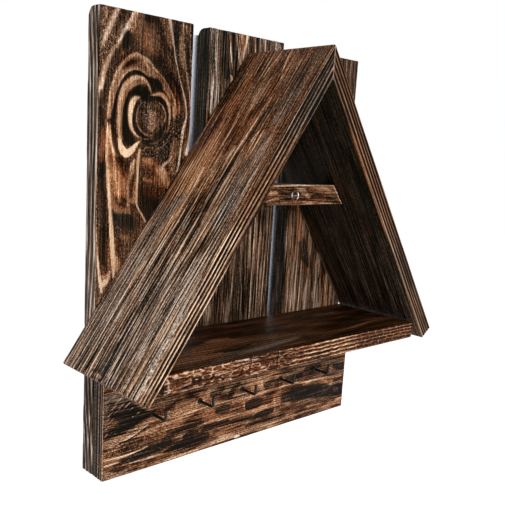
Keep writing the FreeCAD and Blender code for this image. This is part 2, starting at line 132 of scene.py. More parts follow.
class Plank:
    """A closed mesh of one plank with rounded arrises, dense where it shows.

    skips gives how many grid lines a side skips, if not 1: front is d = 0, back is d = thickness,
    low and high are the edges at t = 0 and t = width, start and end are the end grain."""

    SIDES = {"start": (0, 0), "end": (0, 1), "low": (1, 0), "high": (1, 1), "front": (2, 0), "back": (2, 1)}

    def __init__(self, node, origin, axes, size, step, arris=1.5, ends=None, worn=0.0, **skips):
        self.node, self.size, self.arris, self.worn = node, np.array(size, float), arris, worn
        self.origin, self.axes = np.array(origin, float), np.array(axes, float)
        self.ends = ends or (lambda t, d: (0 * t, 0 * t))
        self.lines = [self.grid_lines(length, space) for length, space in zip(size, step)]
        self.build_grid(skips)
        self.place_vertices()
        count = len(self.local)
        self.s, self.t, self.d = self.local.T
        for name in FIELDS:
            setattr(self, name, np.zeros(count))

    def grid_lines(self, length, space):
        """Grid places along one side, with two lines on each rounded arris."""
        radius = self.arris
        count = max(2, int(math.ceil((length - 2 * radius) / space)))
        inner = np.linspace(radius, length - radius, count + 1)
        bend = radius * (1 - math.tan(math.pi / 8))
        return np.concatenate([[0, bend], inner, [length - bend, length]])

    def build_grid(self, skips):
        counts = [len(lines) for lines in self.lines]
        number = np.full(counts, -1, np.int64)
        polygons, quads = [], []
        for side, (axis, high) in self.SIDES.items():
            first, second = (axis + 1) % 3, (axis + 2) % 3
            picks = [self.chosen(counts[other], skips.get(side, 1)) for other in (first, second)]
            fixed = counts[axis] - 1 if high else 0
            flip = (high == 0) != (np.linalg.det(self.axes) < 0)
            cells, whole = self.face_cells(picks, (counts[first], counts[second]))
            quads.append(self.to_grid(cells, axis, fixed, flip))
            for polygon in whole:
                polygons.append(self.to_grid(np.array(polygon)[None], axis, fixed, flip)[0])
        quads = np.concatenate(quads)
        used = [quads.reshape(-1, 3)] + [polygon.reshape(-1, 3) for polygon in polygons]
        used = np.unique(np.concatenate(used), axis=0)
        number[tuple(used.T)] = np.arange(len(used))
        self.grid = used
        self.polygons = number[tuple(quads.reshape(-1, 3).T)].reshape(-1, 4).tolist()
        self.polygons += [number[tuple(polygon.T)].tolist() for polygon in polygons]

    @staticmethod
    def chosen(count, skip):
        """The grid lines a side keeps: all at its rounded arrises, and every skip-th between."""
        return np.array(sorted({0, 1, 2, count - 3, count - 2, count - 1} | set(range(2, count - 2, skip))))

    @staticmethod
    def face_cells(picks, counts):
        """Quads of a side's grid, and polygons along its border that take in every border line."""
        across, up = picks
        corner = np.stack(np.meshgrid(np.arange(len(across) - 1), np.arange(len(up) - 1), indexing="ij"), -1)
        corner = corner.reshape(-1, 2)
        a0, a1 = across[corner[:, 0]], across[corner[:, 0] + 1]
        b0, b1 = up[corner[:, 1]], up[corner[:, 1] + 1]
        border = ((a1 - a0 > 1) & ((b0 == 0) | (b1 == counts[1] - 1))) \
            | ((b1 - b0 > 1) & ((a0 == 0) | (a1 == counts[0] - 1)))
        cells = np.stack([np.stack([a0, b0], -1), np.stack([a1, b0], -1), np.stack([a1, b1], -1),
                          np.stack([a0, b1], -1)], 1)
        whole = []
        for i0, i1, j0, j1 in zip(a0[border], a1[border], b0[border], b1[border]):
            low = range(i0, i1) if j0 == 0 else [i0]
            right = range(j0, j1) if i1 == counts[0] - 1 else [j0]
            high = range(i1, i0, -1) if j1 == counts[1] - 1 else [i1]
            left = range(j1, j0, -1) if i0 == 0 else [j1]
            whole.append([(i, j0) for i in low] + [(i1, j) for j in right]
                         + [(i, j1) for i in high] + [(i0, j) for j in left])
        return cells[~border], whole

    @staticmethod
    def to_grid(cells, axis, fixed, flip):
        """Grid indices of cells on one side, wound so that they face outwards."""
        full = np.full(cells.shape[:-1] + (3,), fixed)
        full[..., (axis + 1) % 3] = cells[..., 0]
        full[..., (axis + 2) % 3] = cells[..., 1]
        return full[..., ::-1, :] if flip else full

    def place_vertices(self):
        """Round the arrises, and slant the ends where they aren't square."""
        flat = np.stack([lines[index] for lines, index in zip(self.lines, self.grid.T)], -1)
        core = np.clip(flat, self.arris, self.size - self.arris)
        away = flat - core
        self.normal = away / np.linalg.norm(away, axis=1, keepdims=True)
        local = core + self.arris * self.normal
        if self.worn:
            self.round_back_end(local)
        start, end = self.ends(local[:, 1], local[:, 2])
        along = local[:, 0] / self.size[0]
        local[:, 0] += start * (1 - along) + end * along
        self.local = local

    def round_back_end(self, local):
        """Round the edge between the end and the back by the radius that is worn off it."""
        away = local[:, [0, 2]] - (self.size[[0, 2]] - self.worn)
        inside = (away > 0).all(1)
        corner = away[inside]
        shrink = corner.max(1) / np.linalg.norm(corner, axis=1)
        local[np.ix_(inside, [0, 2])] -= corner * (1 - shrink)[:, None]

    def facing(self, side, soft=0.35):
        """How far each vertex belongs to one side, 0 to 1, soft over its arrises."""
        axis, high = self.SIDES[side]
        outward = self.normal[:, axis] * (1 if high else -1)
        return ramp(outward, soft, soft + 0.35)

    def to_face(self, pixels, side):
        """Photograph pixels as places on one side, in the two coordinates that span it."""
        axis, high = self.SIDES[side]
        level = self.size[axis] if high else 0.0
        normal = self.axes[axis]
        rays = pixel_rays(pixels)
        reach = ((self.origin + level * normal - CAMERA_PLACE) @ normal) / (rays @ normal)
        points = CAMERA_PLACE + reach[:, None] * rays - self.origin
        return np.delete(points @ self.axes.T, axis, 1)

    def span(self, side):
        """The two coordinates that span a side, at every vertex."""
        return np.delete(self.local, self.SIDES[side][0], 1)

    def fill(self, **values):
        for name, value in values.items():
            getattr(self, name)[:] = value

    def mix(self, share, **values):
        """Blend fields towards new values, by a share from 0 to 1 at each vertex."""
        for name, value in values.items():
            field = getattr(self, name)
            field += share * (value - field)

    def finish(self, relief, finish=None, coarse=1.0):
        """The Blender object, brushed inwards by the relief where the wood is soft."""
        depth = np.clip(relief, 0, DEEPEST)
        points = self.origin + (self.local - depth[:, None] * self.normal) @ self.axes
        mesh = bpy.data.meshes.new(self.node + "_wood")
        mesh.from_pydata((points * MM).tolist(), [], self.polygons)
        for name in FIELDS:
            layer = mesh.attributes.new(name, "FLOAT", "POINT")
            layer.data.foreach_set("value", getattr(self, name).astype(np.float32))
        layer = mesh.attributes.new("grain", "FLOAT_VECTOR", "POINT")
        layer.data.foreach_set("vector", (self.local * (1, coarse, coarse)).astype(np.float32).ravel())
        mesh.polygons.foreach_set("use_smooth", [True] * len(mesh.polygons))
        mesh.update()
        piece = bpy.data.objects.new(self.node + "_wood", mesh)
        bpy.context.scene.collection.objects.link(piece)
        mesh.materials.append(finish or WOOD)
        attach(piece, "root")
        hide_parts(self.node)
        return piece


# Strokes: smooth curves of a few points, laid on a plank's side

BATCH = 20000


def smooth_curve(points, spacing=1.2):
    """Points of a Catmull-Rom curve; columns beyond the second, such as a width, follow along."""
    points = np.asarray(points, float)
    padded = np.vstack([2 * points[0] - points[1], points, 2 * points[-1] - points[-2]])
    pieces = []
    for before, start, end, after in zip(padded, padded[1:], padded[2:], padded[3:]):
        count = max(2, int(np.linalg.norm((end - start)[:2]) / spacing) + 1)
        step = np.linspace(0, 1, count, endpoint=False)[:, None]
        pieces.append(0.5 * (2 * start + (end - before) * step
                             + (2 * before - 5 * start + 4 * end - after) * step ** 2
                             + (3 * start - before - 3 * end + after) * step ** 3))
    return np.vstack(pieces + [points[-1:]])


def nearest_on(curve, places, reach):
    """For each place within reach of a curve: its index, signed distance and place on the curve."""
    low, high = curve[:, :2].min(0) - reach, curve[:, :2].max(0) + reach
    inside = np.flatnonzero(((places > low) & (places < high)).all(1))
    if not len(inside):
        return inside, np.zeros(0), np.zeros(0, int)
    near = np.zeros(len(inside), int)
    for start in range(0, len(inside), BATCH):
        chunk = places[inside[start:start + BATCH]]
        gaps = ((chunk[:, None] - curve[None, :, :2]) ** 2).sum(-1)
        near[start:start + BATCH] = gaps.argmin(1)
    tangent = np.gradient(curve[:, :2], axis=0)
    tangent /= np.linalg.norm(tangent, axis=1, keepdims=True) + 1e-9
    offset = places[inside] - curve[near, :2]
    side = offset[:, 0] * tangent[near, 1] - offset[:, 1] * tangent[near, 0]
    distance = np.linalg.norm(offset, axis=1)
    return inside, np.where(side < 0, -distance, distance), near


def stroke(plank, side, soft, points, lighter=0.0, warmer=0.0, **values):
    """A band along a curve; points holds, in one row, each point's x, y and half width in mm.

    soft gives how gently the band ends, also as two numbers for the right and the left of its way;
    lighter and warmer add to what is there, the other values are blended in."""
    pixels = np.reshape(np.array(points, float), (-1, 3))
    soft = np.broadcast_to(soft, 2)
    places = plank.to_face(pixels, side)
    curve = smooth_curve(np.column_stack([places, pixels[:, 2]]))
    reach = curve[:, 2].max() + max(soft)
    inside, distance, near = nearest_on(curve, plank.span(side), reach)
    if not len(inside):
        return
    half = curve[near, 2]
    edge = np.where(distance > 0, soft[0], soft[1])
    amount = 1 - ramp(np.abs(distance), half - edge / 2, half + edge / 2)
    full = np.zeros(len(plank.s))
    full[inside] = amount
    full *= plank.facing(side)
    plank.mix(full, **values)
    plank.tone += lighter * full
    plank.warm += warmer * full


def grow(plank, pith, spacing, seed, drift, waves=4.0):
    """Growth rings round a pith that lies at t and d, with mm between rings."""
    s, t, d = plank.s, plank.t, plank.d
    wander = drift * 2 * (noise(seed, s / 110, 0 * s) - 0.5)
    radius = np.hypot(t - pith[0] - wander, d - pith[1])
    wave = noise(seed + 1, s / 70, t / 22, d / 22) - 0.5 + 0.3 * (noise(seed + 2, s / 18, t / 8, d / 8) - 0.5)
    plank.ring = (radius + waves * wave) / spacing + 50


LATE_WOOD = ((0.0, 0.0), (0.45, 0.08), (0.72, 1.0), (0.92, 1.0), (1.0, 0.0))
LATE_MIDDLE = 0.82


def late_wood(ring):
    """The hard line of each ring: it rises slowly and ends sharply."""
    places, heights = zip(*LATE_WOOD)
    return np.interp(ring - np.floor(ring), places, heights)


def brushed(plank, depth=0.6):
    """Relief of a brushed plank, deep where it is dark."""
    light = plank.tone + plank.line * (late_wood(plank.ring) - 0.35)
    fibre = noise(77, plank.s / 30, plank.t / 1.8, plank.d / 1.8) - 0.5
    return depth * np.clip(0.7 - light + 0.3 * fibre, 0, 1)


# Materials

def shade(red, green, blue):
    """A colour of the screen, 0 to 255, as linear light."""
    def linear(value):
        value /= 255
        return value / 12.92 if value <= 0.04045 else ((value + 0.055) / 1.055) ** 2.4
    return tuple(linear(value) for value in (red, green, blue)) + (1.0,)


class Nodes:
    """A short way to add and join the nodes of a material or the world."""

    def __init__(self, owner):
        self.owner = owner
        owner.use_nodes = True
        self.tree = owner.node_tree

    def add(self, kind, *inputs, **settings):
        made = self.tree.nodes.new("ShaderNode" + kind)
        for name, value in settings.items():
            setattr(made, name, value)
        for place, value in enumerate(inputs):
            if value is not None:
                self.join(value, made.inputs[place])
        return made

    def join(self, value, socket):
        if isinstance(value, bpy.types.NodeSocket):
            self.tree.links.new(value, socket)
        elif isinstance(value, bpy.types.Node):
            self.tree.links.new(value.outputs[0], socket)
        else:
            socket.default_value = value

    def math(self, operation, *inputs, clamp=False):
        return self.add("Math", *inputs, operation=operation, use_clamp=clamp).outputs[0]

    def field(self, name):
        return self.add("Attribute", attribute_name=name).outputs["Fac"]

    def vector(self, name):
        return self.add("Attribute", attribute_name=name).outputs["Vector"]

    def stretched(self, vector, factors):
        return self.add("VectorMath", vector, factors, operation="MULTIPLY").outputs[0]

    def noise(self, vector, detail=3.0, roughness=0.55, scale=1.0):
        made = self.add("TexNoise", vector)
        made.inputs["Scale"].default_value = scale
        made.inputs["Detail"].default_value = detail
        made.inputs["Roughness"].default_value = roughness
        return made.outputs["Fac"]

    def ramp(self, value, stops):
        """stops are places with a colour, or with a plain number for grey."""
        made = self.add("ValToRGB", value)
        points = made.color_ramp.elements
        while len(points) < len(stops):
            points.new(0.5)
        for point, (place, colour) in zip(points, stops):
            point.position = place
            point.color = (colour,) * 3 + (1.0,) if isinstance(colour, float) else colour
        return made.outputs["Color"]

    def blend(self, share, first, second):
        """Two colours by a share; the Mix node's sockets for colour are these."""
        made = self.add("Mix", data_type="RGBA")
        for place, value in ((0, share), (6, first), (7, second)):
            self.join(value, made.inputs[place])
        return made.outputs[2]

    def set(self, **values):
        """Set or join the shader's own sockets."""
        for name, value in values.items():
            self.join(value, self.tree.nodes["Principled BSDF"].inputs[name.replace("_", " ")])
        return self.owner

    def seen(self):
        """1 for rays that show a surface to the camera, 0 for the light it sends to others."""
        rays = self.add("LightPath").outputs
        total = rays["Is Camera Ray"]
        for kind in ("Is Glossy Ray", "Is Transmission Ray"):
            total = self.math("ADD", total, rays[kind], clamp=True)
        return total


def material_nodes(name):
    return Nodes(bpy.data.materials.new(name))


CHAR = (0.0, 0.13, 0.26, 0.4, 0.55, 0.7, 0.85, 1.0)
BROWN = ((12, 5, 1), (41, 20, 7), (71, 41, 21), (105, 70, 46), (142, 103, 75), (176, 135, 103),
         (210, 171, 137), (247, 215, 182))
GREY = ((10, 8, 4), (31, 26, 17), (58, 48, 37), (90, 76, 64), (124, 107, 95), (157, 138, 125),
        (192, 172, 158), (232, 218, 204))
ORANGE = ((20, 7, 3), (50, 22, 11), (86, 42, 22), (126, 71, 41), (166, 105, 66), (198, 140, 96),
          (226, 180, 138), (250, 220, 182))


def burnt_pine(name, specular):
    """Pine that was charred, brushed along the grain and varnished, darkest where it is charred most."""
    nodes = material_nodes(name)
    grain = nodes.vector("grain")
    fields = {field: nodes.field(field) for field in FIELDS}

    def texture(factors, detail, roughness=0.55):
        return nodes.noise(nodes.stretched(grain, factors), detail, roughness)

    late = nodes.ramp(nodes.math("FRACT", fields["ring"]), LATE_WOOD)
    fibre = texture((0.04, 0.5, 0.5), 2.5, 0.75)
    thread = nodes.ramp(texture((0.016, 1.2, 1.2), 1), ((0.4, 0.0), (0.6, 1.0)))
    speck = texture((0.32, 0.6, 0.6), 2, 0.75)
    grit = texture((0.9, 1.3, 1.3), 0)
    cloud = texture((0.016, 0.07, 0.07), 2.5)
    dots = nodes.ramp(texture((0.7, 1.0, 1.0), 1), ((0.56, 0.0), (0.68, 1.0)))
    threaded = nodes.math("MULTIPLY", fields["fibre"], 0.62)
    gritty = nodes.math("MULTIPLY", fields["speck"], 0.6)
    dotted = nodes.math("MULTIPLY", nodes.math("SUBTRACT", fields["speck"], 0.75, clamp=True), 0.6)
    tone = fields["tone"]
    for pattern, middle, strength in (
            (late, 0.35, fields["line"]), (fibre, 0.5, fields["fibre"]), (thread, 0.5, threaded),
            (speck, 0.5, fields["speck"]), (grit, 0.5, gritty), (cloud, 0.5, 0.22), (dots, 0.2, dotted)):
        tone = nodes.math("MULTIPLY_ADD", nodes.math("SUBTRACT", pattern, middle), strength, tone)
    warm = nodes.math("MULTIPLY_ADD", nodes.math("SUBTRACT", cloud, 0.5), 1.2, fields["warm"])
    grey, brown, orange = (nodes.ramp(tone, [(place, shade(*colour)) for place, colour in zip(CHAR, colours)])
                           for colours in (GREY, BROWN, ORANGE))
    colour = nodes.blend(nodes.math("MULTIPLY", warm, 1.0, clamp=True), grey, brown)
    colour = nodes.blend(nodes.math("SUBTRACT", warm, 1.0, clamp=True), colour, orange)
    bump = nodes.add("Bump")
    bump.inputs["Strength"].default_value = 0.5
    bump.inputs["Distance"].default_value = 0.0005
    nodes.join(nodes.math("MULTIPLY_ADD", tone, 1.5, speck), bump.inputs["Height"])
    dull = nodes.math("MULTIPLY_ADD", speck, 0.3, 0.3)
    return nodes.set(Base_Color=colour, Roughness=dull, Normal=bump.outputs[0], Specular_IOR_Level=specular)


def black_steel():
    """Black painted wire, a little dusty."""
    nodes = material_nodes("black_hook")
    place = nodes.add("TexCoord").outputs["Object"]
    dust = nodes.noise(place, detail=4, scale=900)
    colour = nodes.ramp(dust, ((0.3, shade(8, 7, 6)), (0.75, shade(30, 27, 24))))
    dull = nodes.math("MULTIPLY_ADD", dust, 0.3, 0.25)
    return nodes.set(Base_Color=colour, Roughness=dull, Specular_IOR_Level=0.25)


def plated_steel(name, dark, light):
    """Zinc plate with faint stains."""
    nodes = material_nodes(name)
    place = nodes.add("TexCoord").outputs["Object"]
    stain = nodes.noise(place, detail=5, scale=450)
    colour = nodes.ramp(stain, ((0.3, dark), (0.7, light)))
    dull = nodes.math("MULTIPLY_ADD", stain, 0.3, 0.18)
    return nodes.set(Base_Color=colour, Roughness=dull, Metallic=1.0)


def plain_beech():
    """Pale dowel wood with fine flecks."""
    nodes = material_nodes("beech")
    place = nodes.stretched(nodes.add("TexCoord").outputs["Object"], (120.0, 1500.0, 1500.0))
    fleck = nodes.noise(place, detail=3)
    colour = nodes.ramp(fleck, ((0.3, shade(176, 132, 92)), (0.7, shade(214, 178, 134))))
    return nodes.set(Base_Color=colour, Roughness=0.6)


WOOD = burnt_pine("burnt_pine", specular=0.03)
VARNISHED = burnt_pine("burnt_pine_gloss", specular=0.04)
HARDWARE = {
    "black_hook": black_steel(),
    "bright_steel": plated_steel("bright_steel", shade(150, 150, 148), shade(214, 214, 212)),
    "yellow_steel": plated_steel("yellow_steel", shade(170, 134, 66), shade(222, 194, 124)),
    "beech": plain_beech(),
}


def dress_hardware():
    """Give each node that stays its finish, by its slot in the record."""
    for part in frame["record"]["subparts"]:
        finish = HARDWARE.get(part["material_slot"])
        if finish:
            item = frame["nodes"][part["node"]]
            item.data.materials.clear()
            item.data.materials.append(finish)


# Where the planks lie, in mm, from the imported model's own boxes

def box(node):
    low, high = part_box(node)
    return np.array(low) / MM, np.array(high) / MM


X, Y, Z = np.eye(3)


def boxed(node, axes, step, arris=1.5, **more):
    """A plank that fills its node's box; along an axis that runs backwards it starts at the high end."""
    low, high = box(node)
    origin = np.where(sum(axes) > 0, low, high)
    return Plank(node, origin, axes, np.abs(axes) @ (high - low), step, arris, **more)


BOARD_WORN = 8.0
ROOF_THICKNESS = 18.0
RIDGE_OFFSET = -2.75
ROOF_OVERHANG = {"left": 28.4, "right": 24.4}
shelf_low, shelf_high = box("shelf")
ridge = np.array([RIDGE_OFFSET, shelf_high[1], box("roof_panel_left")[1][2]])


def roof_slope(side):
    """A panel's inner face meets the top corner of the shelf, as in the construction."""
    corner = shelf_low[0] if side == "left" else shelf_high[0]
    run, rise = abs(corner - ridge[0]), ridge[2] - shelf_high[2]
    reach = math.hypot(run, rise)
    length = math.sqrt(reach ** 2 - ROOF_THICKNESS ** 2) + ROOF_OVERHANG[side]
    return math.atan2(rise, run) - math.asin(ROOF_THICKNESS / reach), length


def roof(side, step, **skips):
    """A panel from the ridge down; its mitre leans by the line where both inner faces meet."""
    sign = -1 if side == "left" else 1
    (slope, length), (other, _) = roof_slope(side), roof_slope("right" if side == "left" else "left")
    along = np.array([sign * math.cos(slope), 0, -math.sin(slope)])
    inward = np.array([-sign * math.sin(slope), 0, -math.cos(slope)])
    slopes = (slope, other) if side == "left" else (other, slope)
    shift = ROOF_THICKNESS * (1 / math.cos(slopes[0]) - 1 / math.cos(slopes[1])) \
        / (math.tan(slopes[0]) + math.tan(slopes[1]))
    drop = ROOF_THICKNESS / math.cos(slope) + sign * shift * math.tan(slope)
    inner_ridge = np.array([shift, 0, -drop])
    lean = (inner_ridge @ along) / ROOF_THICKNESS
    depth = shelf_high[1] - box("roof_panel_" + side)[0][1]
    plank = Plank("roof_panel_" + side, ridge, (along, -Y, inward), (length, depth, ROOF_THICKNESS), step,
                  ends=lambda t, d: (d * lean, 0 * t), **skips)
    plank.mitre = 1 - ramp(plank.s - plank.d * lean, 0.6, 1.6)
    return plank


STROKE = ("tone", "warm", "speck", "line", "fibre")
TOUCH = ("lighter", "warmer")


def lay(plank, strokes, names=STROKE):
    """Strokes on the front, in their order: the values for the names, the softness, the points."""
    for values, soft, *points in strokes:
        given = {name: value for name, value in zip(names, values) if value is not None}
        stroke(plank, "front", soft, points, **given)


# The knot board on the left: every stroke's points are read off the photograph

TAN = (1.0, 0.9, None, 0.45)
CREAM = (1.0, 0.7, None, 0.3)
BLACK = (0.15, 0.25, None, 0.3)
SPECKLED = (None, 1.5, None, 0.3)

KNOT_GROUND = (
    ((0.3, 0.7, 0.7), 8, 147, 20, 8, 149, 35, 12, 150, 50, 10, 152, 62, 6),
    ((0.4, 1.3, 0.8), 5, 147, 28, 2, 148, 36, 4, 147, 44, 4, 152, 50, 3),
    ((0.5, 1.2, 0.6), 3, 141, 49, 0.6, 146, 45, 1, 150, 41, 1.4, 152, 50, 0.8),
    ((0.33, *SPECKLED), 6, 116, 14, 5, 112, 28, 8, 108, 42, 8, 104, 55, 5, 102, 68, 3),
    ((0.14, 0.5, 1), 4, 124, 14, 3, 121, 24, 4, 118, 33, 3),
    ((0.5, 0.9), 3, 105, 9, 3, 105, 15, 2.6, 103, 22, 1.6),
    ((0.74, 0.5, 1), 2.5, 119, 8, 2, 115, 15, 2.2, 112, 22, 2.4, 109, 29, 2.6, 106, 36, 2, 103, 44, 1),
    ((0.8, 0.5, 1.1), 2, 136, 11, 2.6, 133, 17, 2.2, 130, 23, 2.2, 127, 29, 2.6, 123, 36, 1.8, 119, 42,
     1.6),
    ((0.5, 1), 3, 136, 16, 1.6, 134, 24, 2.6, 132, 31, 2),
    ((0.68, 0.8, 0.9), 3, 119, 43, 1.4, 115, 49, 2.2, 111, 57, 3, 107, 65, 3, 104, 72, 3, 101.5, 80, 2.6),
    ((0.8, 0.7, 0.7), 2, 106, 77, 1.6, 102.5, 82, 2.6, 101, 89, 2.2, 100.5, 95, 1),
    ((0.05, *BLACK), 4, 128, 35, 3.5, 126, 42, 4, 124, 47, 2),
    ((0.12, 0.5), 4, 118, 52, 3, 115, 62, 4, 110, 74, 3, 106, 90, 3),
    ((0.5, 0.8), (5, 2), 163, 18, 3, 166, 26, 5, 169, 36, 4, 171, 46, 2),
    ((0.3, 0.8), 5, 160, 30, 5, 163, 45, 5, 166, 56, 4, 168, 66, 3),
    ((0.1, 0.4), 5, 158, 62, 5, 165, 68, 5, 172, 78, 3, 177, 90, 2),
    ((0.42, 1.8), 3, 172, 80, 1, 176, 92, 1.6, 179, 104, 1.6, 180, 112, 1),
    ((0.5, 0.9), (3, 2), 181, 38, 1.6, 181.5, 48, 2.4, 182, 58, 2.2, 183.5, 67, 1.4),
    ((0.12, 0.3), 2, 177, 24, 3, 177.5, 34, 2.4, 179.5, 70, 1, 184, 84, 1.4, 187, 100, 1),
    ((0.42, 1, 1.2), 2, 187, 27, 1.6, 187.5, 33, 1.4),
    ((0.07, 0.2), 1.5, 188, 44, 1.4, 188.6, 60, 1.2, 190, 75, 0.8),
    ((0.05, 0.1), 1, 193.5, 26, 1.4, 193.5, 60, 1.2, 193.5, 90, 1.2, 193.5, 125, 1.4),
    ((0.1, 0.35, 0.5), 3, 102, 92, 2, 103, 115, 3, 103, 135, 2.6, 102.5, 165, 3.5, 102.5, 200, 4, 104, 235,
     4, 105, 262, 4),
    ((0.4, 1.7), 3, 103, 128, 1, 103, 142, 2.4, 102, 154, 2.4, 101.5, 162, 1),
    ((0.44, 1.6), 3, 108, 238, 0.6, 108, 250, 1.6, 108, 262, 1.6, 109, 270, 1),
    ((0.1, 0.35, 1.6), 8, 176, 122, 5, 170, 138, 9, 160, 150, 10, 150, 154, 6),
    ((0.05, *BLACK), 4, 146, 142, 3, 156, 142, 3.4, 164, 134, 2.4),
    ((0.06, *BLACK), (8, 6), 142, 190, 3, 148, 200, 9, 152, 208, 11, 153, 216, 9),
    ((0.34, 1.4, 0.9), 6, 145, 162, 3, 152, 168, 8, 157, 174, 9, 162, 181, 8, 167, 182, 4),
    ((0.15, 1.4), 5, 143, 190, 2, 148, 193, 4, 156, 192, 5, 163, 190, 3),
    ((0.5, 1.5, 0.9), 3, 144, 160, 1.6, 149, 161, 3, 154, 163, 1.8),
    ((0.46, 1.6, 0.9), 3, 144, 179, 1.6, 149, 181, 2.4, 154, 180, 1.4),
    ((0.56, 1.5, 0.9), 4, 158, 170, 3, 163, 174, 5, 166, 181, 4, 168, 188, 2),
    ((0.66, 1.3, 0.8), 3, 163, 168, 1.2, 165, 174, 2.2, 163, 180, 1.4),
    ((0.4, 0.9, 1.3), 4, 176, 142, 3, 174, 152, 4, 172, 162, 4, 172, 172, 3),
    ((0.2, 1.3, 1.2), 5, 147, 170, 2, 151, 173, 3, 151, 178, 2),
    ((0.74, 0.6, 0.8), 1.2, 161, 171, 1, 164, 165, 1.6, 169, 161, 1.2, 172, 156, 0.6),
)

KNOT_LEGS = (
    ((0.5, 1.5, 0.9), 3, 110, 128, 2, 110.5, 145, 3, 112, 160, 4.5, 115, 172, 8, 120, 183, 12, 122, 196, 13,
     123, 207, 11, 125, 213, 7),
    ((0.66, 1.3, 0.9), 3, 113, 163, 1, 116, 172, 3.4, 120, 181, 4, 125, 190, 3, 127, 199, 1.6),
    ((0.26, 1.6, 0.9), 3, 129, 168, 1, 130.4, 176, 2, 130.8, 186, 2.4, 131, 196, 1.6),
    ((0.26, 1.4, 0.9), 2, 123.4, 160, 1.6, 123.6, 168, 1.8, 124.4, 177, 1),
    ((0.26, 0.9, 1), 4, 115, 196, 1, 119, 201, 4, 124, 203, 4),
    ((0.36, 1), 3, 113, 180, 1.5, 114, 190, 2),
    ((0.13, 0.2, 0.3), 4, 113, 215, 2, 122, 220, 6, 131, 223, 7, 135, 227, 4),
    ((0.2, 1), 4, 118, 233, 3, 127, 234, 6, 134, 236, 4),
    ((0.2, 1.2), 4, 117, 242, 3, 122, 247, 7, 124, 256, 6, 120, 266, 5),
    ((0.32, 1.4, 0.6), 3, 121, 236, 1.4, 125, 237.5, 2.4, 130, 236, 1.4),
    ((0.5, 1.5), 3, 115.5, 257, 1.5, 117, 263, 2.8, 117, 270, 1.8),
    ((0.26, 1), 2, 138, 226, 1, 137, 232, 2, 133, 238, 2),
    ((0.17, 0.8), 3, 118, 158, 1.6, 123, 161, 3.4, 128, 163, 2),
    ((0.6, 1.3), 2.5, 133.4, 164, 1.4, 132.6, 172, 1.6, 128.4, 182, 1.4),
    ((0.55, 1.4), 2.5, 136, 180, 1, 135.4, 190, 2, 135, 202, 1.6),
    ((0.2, 0.9), 2, 131, 204, 1.2, 132, 210, 1.6, 134, 215, 2),
    ((0.74, *TAN), 1.4, 134.6, 160, 1, 131.4, 166, 1.2, 129.4, 174, 1, 128.4, 184, 1.2, 128, 194, 1.4,
     127.6, 206, 0.8),
    ((0.68, *TAN), 2, 121, 176, 0.6, 124, 182, 1.2, 126, 188, 1.2, 127, 194, 1),
    ((0.66, *TAN), 2, 114.6, 170, 0.6, 117, 180, 1.4, 118, 190, 1.2, 119.6, 202, 0.8),
    ((0.84, *TAN), (1.2, 2), 110.5, 125, 0.7, 111.5, 137, 1.4, 112.8, 148, 1.3, 114, 158, 1.2, 115.2, 168,
     0.9, 116, 176, 0.6),
    ((0.87, 1.1, 0.6), (2.4, 0.6), 107.8, 123, 0.5, 107.2, 133, 1.2, 107, 148, 1.6, 107.2, 163, 1.3, 107.8,
     180, 1.4, 109.2, 195, 1.7, 110, 207, 1.8, 110.8, 220, 2, 111.5, 232, 2.3, 112.4, 245, 2.5, 112.9, 258,
     2.4, 113.4, 268, 2, 113.4, 277, 1.4),
    ((0.8, 1.1, 0.5), (0.8, 1.2), 139.5, 150, 1.3, 138.3, 160, 1.8, 137.6, 175, 1.2, 137, 190, 1, 136.6,
     203, 1, 138.4, 209, 0.8, 142, 215, 0.8, 145.3, 221.4, 0.9),
    ((0.05, 0.4), (0.5, 1), 141.4, 152, 0.3, 140.2, 162, 0.6, 139.4, 176, 0.6, 138.8, 192, 0.6, 138.6, 203,
     0.5),
    ((0.78, *TAN), 0.8, 96.4, 150, 0.5, 96.4, 180, 0.7, 96.4, 215, 0.6, 96.7, 240, 0.8, 97.4, 256, 1.1,
     98.4, 269, 1.3, 100, 281, 1.5, 101.6, 292, 1),
    ((0.74, *TAN), 1.5, 101, 286, 2.2, 104.5, 283, 3, 107.5, 279, 2.4, 109.5, 272, 1.4),
    ((0.5, 1.7), 1.5, 102, 277, 1, 105, 277.5, 1.6, 108, 273, 1),
    ((0.42, 0.1, 0.2), 0.4, 100, 103, 0.35, 104, 108, 0.35, 107.5, 112, 0.25),
    ((0.4, 0.2, 0.2), 0.4, 98, 211, 0.35, 103, 219, 0.35, 108, 229, 0.25),
)

